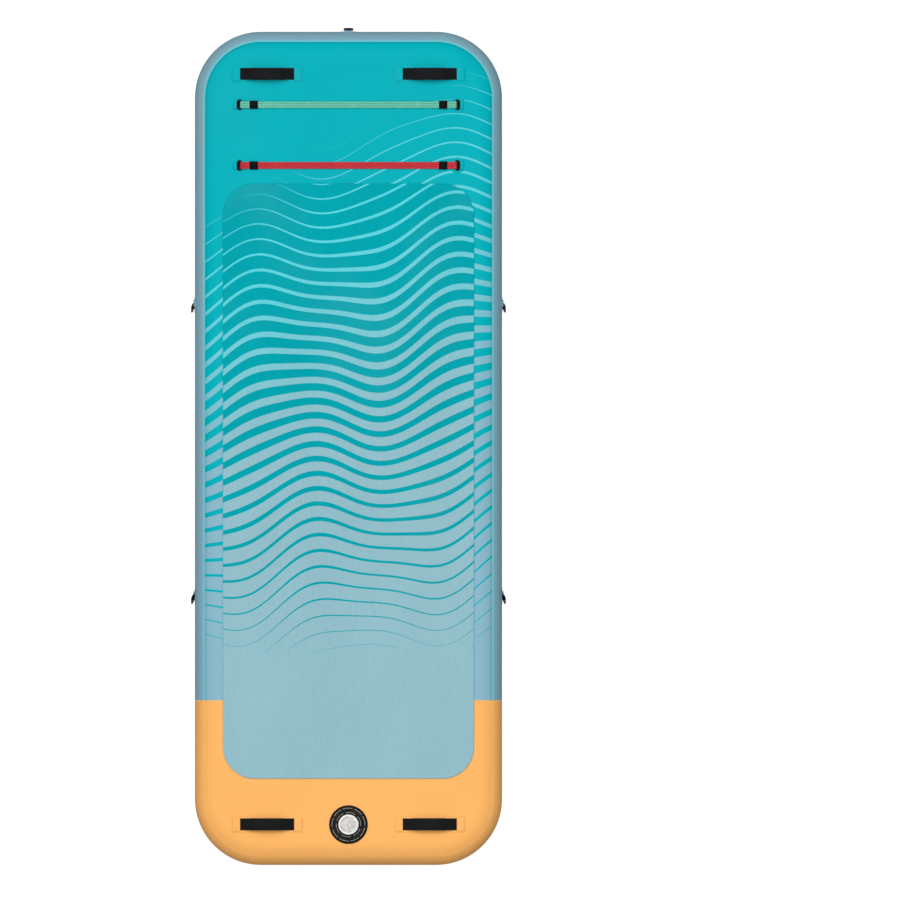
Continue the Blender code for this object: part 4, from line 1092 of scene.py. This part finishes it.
SURROUND_RADIUS = 0.058
SURROUND_BORE = 0.0342
SURROUND_HEIGHT = 0.0046
SURROUND_EDGE = 0.0036
OUTER_LINE = 0.0495
INNER_LINE = 0.0366
CAP_RADIUS = 0.0305
CAP_HEIGHT = 0.0220
CAP_LOW = 0.0032
CAP_BORE = 0.0278
CAP_CEILING = 0.0166
CAP_INNER = 0.0236
CAP_RIBS = 36
TURN_STEPS = 144
CAP_STEPS = 216
TICK_PLACES = 48
TICK_RADIUS = 0.0432
TICK_RISE = 0.0002
TICK_HALF_WIDTH = 0.00045


def lathe(profile, steps=TURN_STEPS, shaped=None):
    """A closed profile of (radius, height) points turned round the Z axis."""
    rows = []
    for angle in round_turn(steps):
        points = [shaped(angle, *point) if shaped else point for point in profile]
        rows.append([(out * math.cos(angle), out * math.sin(angle), height) for out, height in points])
    return loft(rows, closed_along=True)[0]


def from_valve(place):
    """The way from the valve's axis to a place, and its length across the deck."""
    away = vector_maths("SUBTRACT", place, (0.0, VALVE_Y, 0.0))
    flat = vector_maths("MULTIPLY", away, (1.0, 1.0, 0.0))
    return away, node("VectorMath", {0: flat}, "Value", operation="LENGTH")


def surround_paint(place):
    """Black, with the two raised lines printed pale in arcs."""
    away, radius = from_valve(place)
    axes = split(away)
    turn = maths("DIVIDE", maths("ARCTAN2", axes["Y"], axes["X"]), math.tau)
    lines = 0.0
    for line, arcs, share in ((OUTER_LINE, 9.0, 0.86), (INNER_LINE, 6.0, 0.80)):
        near = maths("ABSOLUTE", minus(radius, line))
        along = maths("FRACT", times_plus(turn, arcs, 12.1))
        drawn = times(spread(near, 0.0007, 0.0004), spread(along, share, share - 0.02))
        lines = maths("MAXIMUM", drawn, lines)
    return mixed(lines, dye(9, 8, 8), dye(186, 182, 176))


valve_place = Matrix.Translation((0, VALVE_Y, DECK_Z))
valve_black = plastic("black valve plastic", dye(12, 12, 12), dye(36, 36, 37), 0.42, grain=1100.0)
surround_black = plastic(
    "black surround plastic", dye(9, 8, 8), dye(24, 23, 22), 0.5, specular=0.08, paint=surround_paint
)
bore = SURROUND_BORE - 0.0008
profile = [(bore, FIT_GAP), (bore, SURROUND_HEIGHT - 0.0004), (SURROUND_BORE, SURROUND_HEIGHT)]
for line in (INNER_LINE, OUTER_LINE):
    for away, rise in ((-0.0008, 0.0), (-0.0005, 0.0004), (0.0, 0.0005), (0.0005, 0.0004), (0.0008, 0.0)):
        profile.append((line + away, SURROUND_HEIGHT + rise))
centre = (SURROUND_RADIUS - SURROUND_EDGE, SURROUND_HEIGHT - SURROUND_EDGE)
profile += arc(centre, (SURROUND_EDGE, SURROUND_EDGE), math.pi / 2, 0, 8)
profile += [(SURROUND_RADIUS, FIT_GAP)]
surround = lathe(profile)
new_piece(
    "valve_surround_ring", surround, surround_black, "board", valve_place, ["valve_surround"]
)

# Short raised ticks stand between the two lines, longer at every third place, with four gaps
tick_plastic = plastic("grey tick print", dye(74, 70, 66), dye(52, 50, 47), 0.5)
bm = bmesh.new()
for i in range(TICK_PLACES):
    if i % 12 in (0, 11, 1):
        continue
    turn = Matrix.Rotation(math.tau * i / TICK_PLACES, 4, "Z")
    half_long = 0.0032 if i % 3 == 0 else 0.0018
    low, high = SURROUND_HEIGHT - TICK_RISE, SURROUND_HEIGHT + TICK_RISE
    rows = []
    for z, inset in ((low, 0), (high - 0.0001, 0), (high, 0.00015)):
        x, y = half_long - inset, TICK_HALF_WIDTH - inset
        rows.append([turn @ Vector((TICK_RADIUS + sx * x, sy * y, z)) for sx, sy in QUARTERS])
    loft(rows, bm=bm)
new_piece("valve_surround_ticks", bm, tick_plastic, "board", valve_place)


def cap_paint(place):
    """Pale grey, clouded on its dished top, with a painted highlight: near white from its raised rim
    outwards.
    """
    clouds = spread(noise(place, 85.0, 4.0), 0.35, 0.68)
    top = mixed(clouds, dye(188, 186, 183), dye(224, 222, 218))
    # Painted highlight: near white from the raised rim outwards
    return mixed(spread(from_valve(place)[1], 0.0246, 0.0258), top, dye(250, 249, 246))


cap_grey = plastic("pale cap plastic", dye(214, 212, 210), dye(190, 188, 186), 0.36, paint=cap_paint)


def cap_ribs(angle, radius, height):
    """Finger ribs down the cap's side."""
    if radius > CAP_RADIUS - 0.0012 and height < CAP_HEIGHT - 0.0030:
        radius -= 0.0007 * (0.5 - 0.5 * math.cos(angle * CAP_RIBS)) ** 2
    return radius, height


side_foot = CAP_LOW + 0.0006
profile = [(CAP_BORE, CAP_LOW), (CAP_RADIUS - 0.0006, CAP_LOW), (CAP_RADIUS, side_foot)]
profile += [(CAP_RADIUS, side_foot + (CAP_HEIGHT - 0.0056 - CAP_LOW) * i / 8) for i in range(1, 9)]
centre = (CAP_RADIUS - 0.0042, CAP_HEIGHT - 0.0050)
profile += arc(centre, (0.0042, 0.0046), math.radians(10), math.radians(88), 12)
for radius, drop in (
    (0.0248, 0.0005), (0.0236, 0.0011), (0.0222, 0.0014), (0.0170, 0.0012), (0.0110, 0.0008),
    (0.0050, 0.0004), (0.00003, 0.0003), (0.00003, 0.0027),
):
    profile.append((radius, CAP_HEIGHT - drop))
profile += [(CAP_INNER, CAP_CEILING), (CAP_BORE, CAP_CEILING)]
cap = lathe(profile, CAP_STEPS, cap_ribs)
new_piece("valve_cap_moulding", cap, cap_grey, "valve_cap", valve_place, ["valve_cap"])

# The valve's spring is a coil of drawn wire round the stem.

SPRING_RADIUS = 0.0052
SPRING_WIRE = 0.0005
SPRING_TURNS = 5
SPRING_STEPS = 24

spring_steel = grained(
    "drawn spring steel", 0.3, 0.5, 900.0, 2.0, dye(128, 130, 134), dye(206, 207, 208), 0.00002, Metallic=1.0
)
spring_foot, spring_top = (corner[2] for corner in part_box("valve_spring"))
climb = (spring_top - spring_foot - 2 * SPRING_WIRE) / SPRING_TURNS
rows = []
for i in range(SPRING_TURNS * SPRING_STEPS + 1):
    angle = math.tau * i / SPRING_STEPS
    out = Vector((math.cos(angle), math.sin(angle), 0))
    height = spring_foot + SPRING_WIRE + climb * i / SPRING_STEPS
    middle = Vector((0, VALVE_Y, height)) + out * SPRING_RADIUS
    turned = [out * math.cos(a) + Vector((0, 0, math.sin(a))) for a in round_turn(10)]
    rows.append([middle + away * SPRING_WIRE * 0.98 for away in turned])
coil = loft(rows)[0]
spring = new_piece(
    "valve_spring_coil", coil, spring_steel, "valve_seal", stands_for=["valve_spring"]
)
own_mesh(spring)

# Inner parts. The valve's body, nut, button, seal and gasket and the core of ground cloths and yarns keep
# their solid shapes, as little or nothing of them shows, and get their own finishes.

button_grey = plastic("grey button plastic", dye(150, 150, 152), dye(190, 190, 190), 0.4)
seal_rubber = plastic(
    "valve seal rubber", dye(24, 24, 25), dye(52, 52, 52), 0.75, specular=0.2, grain=600.0, depth=0.00008
)
core_cloth = grained(
    "knitted ground cloth", 0.9, 0.1, 500.0, 2.0, dye(196, 194, 188), dye(232, 231, 226), 0.0003
)
for name, finish in (
    ("valve_body", valve_black),
    ("valve_nut", valve_black),
    ("valve_plunger", button_grey),
    ("valve_seal", seal_rubber),
    ("valve_cap_gasket", seal_rubber),
    ("drop_stitch_core", core_cloth),
):
    for material_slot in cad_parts[name].material_slots:
        material_slot.material = finish

# Studio. The board lies on a lit white table, under one soft light from above, a little ahead and to the
# left, and an overhead sky that fades towards the horizon, and is seen from straight above.

FLOOR_REACH = 60
FLOOR_GLOW = 0.14
SEEN_GLOW = 0.72
METRES_PER_PIXEL = 0.0030005
PICTURE_PIXELS = 900
PICTURE_MIDDLE = (101.54, -1.67)
CAMERA_HEIGHT = 8
WHITE = (1.0, 1.0, 1.0, 1.0)

floor_mesh = bpy.data.meshes.new("floor")
floor_corners = [(x * FLOOR_REACH, y * FLOOR_REACH, 0) for x, y in QUARTERS]
floor_mesh.from_pydata(floor_corners, [], [(0, 1, 2, 3)])
floor = bpy.data.objects.new("floor", floor_mesh)
bpy.context.scene.collection.objects.link(floor)
floor_paint, sockets, place = new_material("lit white table", 0.9, specular=0.0)
paper = noise(place, 40.0, 2.0)
link(mixed(paper, (0.26, 0.26, 0.26, 1.0), (0.28, 0.28, 0.28, 1.0)), sockets["Base Color"])
sockets["Emission Color"].default_value = WHITE
seen = node("LightPath", {}, "Is Camera Ray", floor_paint.node_tree)
link(times_plus(seen, SEEN_GLOW, FLOOR_GLOW), sockets["Emission Strength"])
floor_mesh.materials.append(floor_paint)

lamp = bpy.data.lights.new("overhead", "SUN")
lamp.energy = 1.95
lamp.angle = math.radians(42)
overhead = bpy.data.objects.new("overhead", lamp)
overhead.rotation_euler = (math.radians(-15), math.radians(-8), 0)
overhead.location = (0, 1, 6)
bpy.context.scene.collection.objects.link(overhead)

world = bpy.data.worlds.new("overhead sky")
world.use_nodes = True
sky = world.node_tree
background = sky.nodes["Background"].inputs
rise = split(node("TexCoord", {}, "Generated", sky))["Z"]
glow = times(maths("POWER", maths("MAXIMUM", rise, 0.0), 2.0), 1.2)
seen = node("LightPath", {}, "Is Camera Ray", sky)
link(maths("MAXIMUM", maths("ADD", glow, 0.03), seen), background["Strength"])
background["Color"].default_value = WHITE
bpy.context.scene.world = world
bpy.context.scene.view_settings.view_transform = "Standard"

lens = bpy.data.cameras.new("camera")
lens.type = "ORTHO"
lens.ortho_scale = PICTURE_PIXELS * METRES_PER_PIXEL
lens.clip_end = 100
camera = bpy.data.objects.new("camera", lens)
camera.location = (*(pixels * METRES_PER_PIXEL for pixels in PICTURE_MIDDLE), CAMERA_HEIGHT)
bpy.context.scene.collection.objects.link(camera)
bpy.context.scene.camera = camera
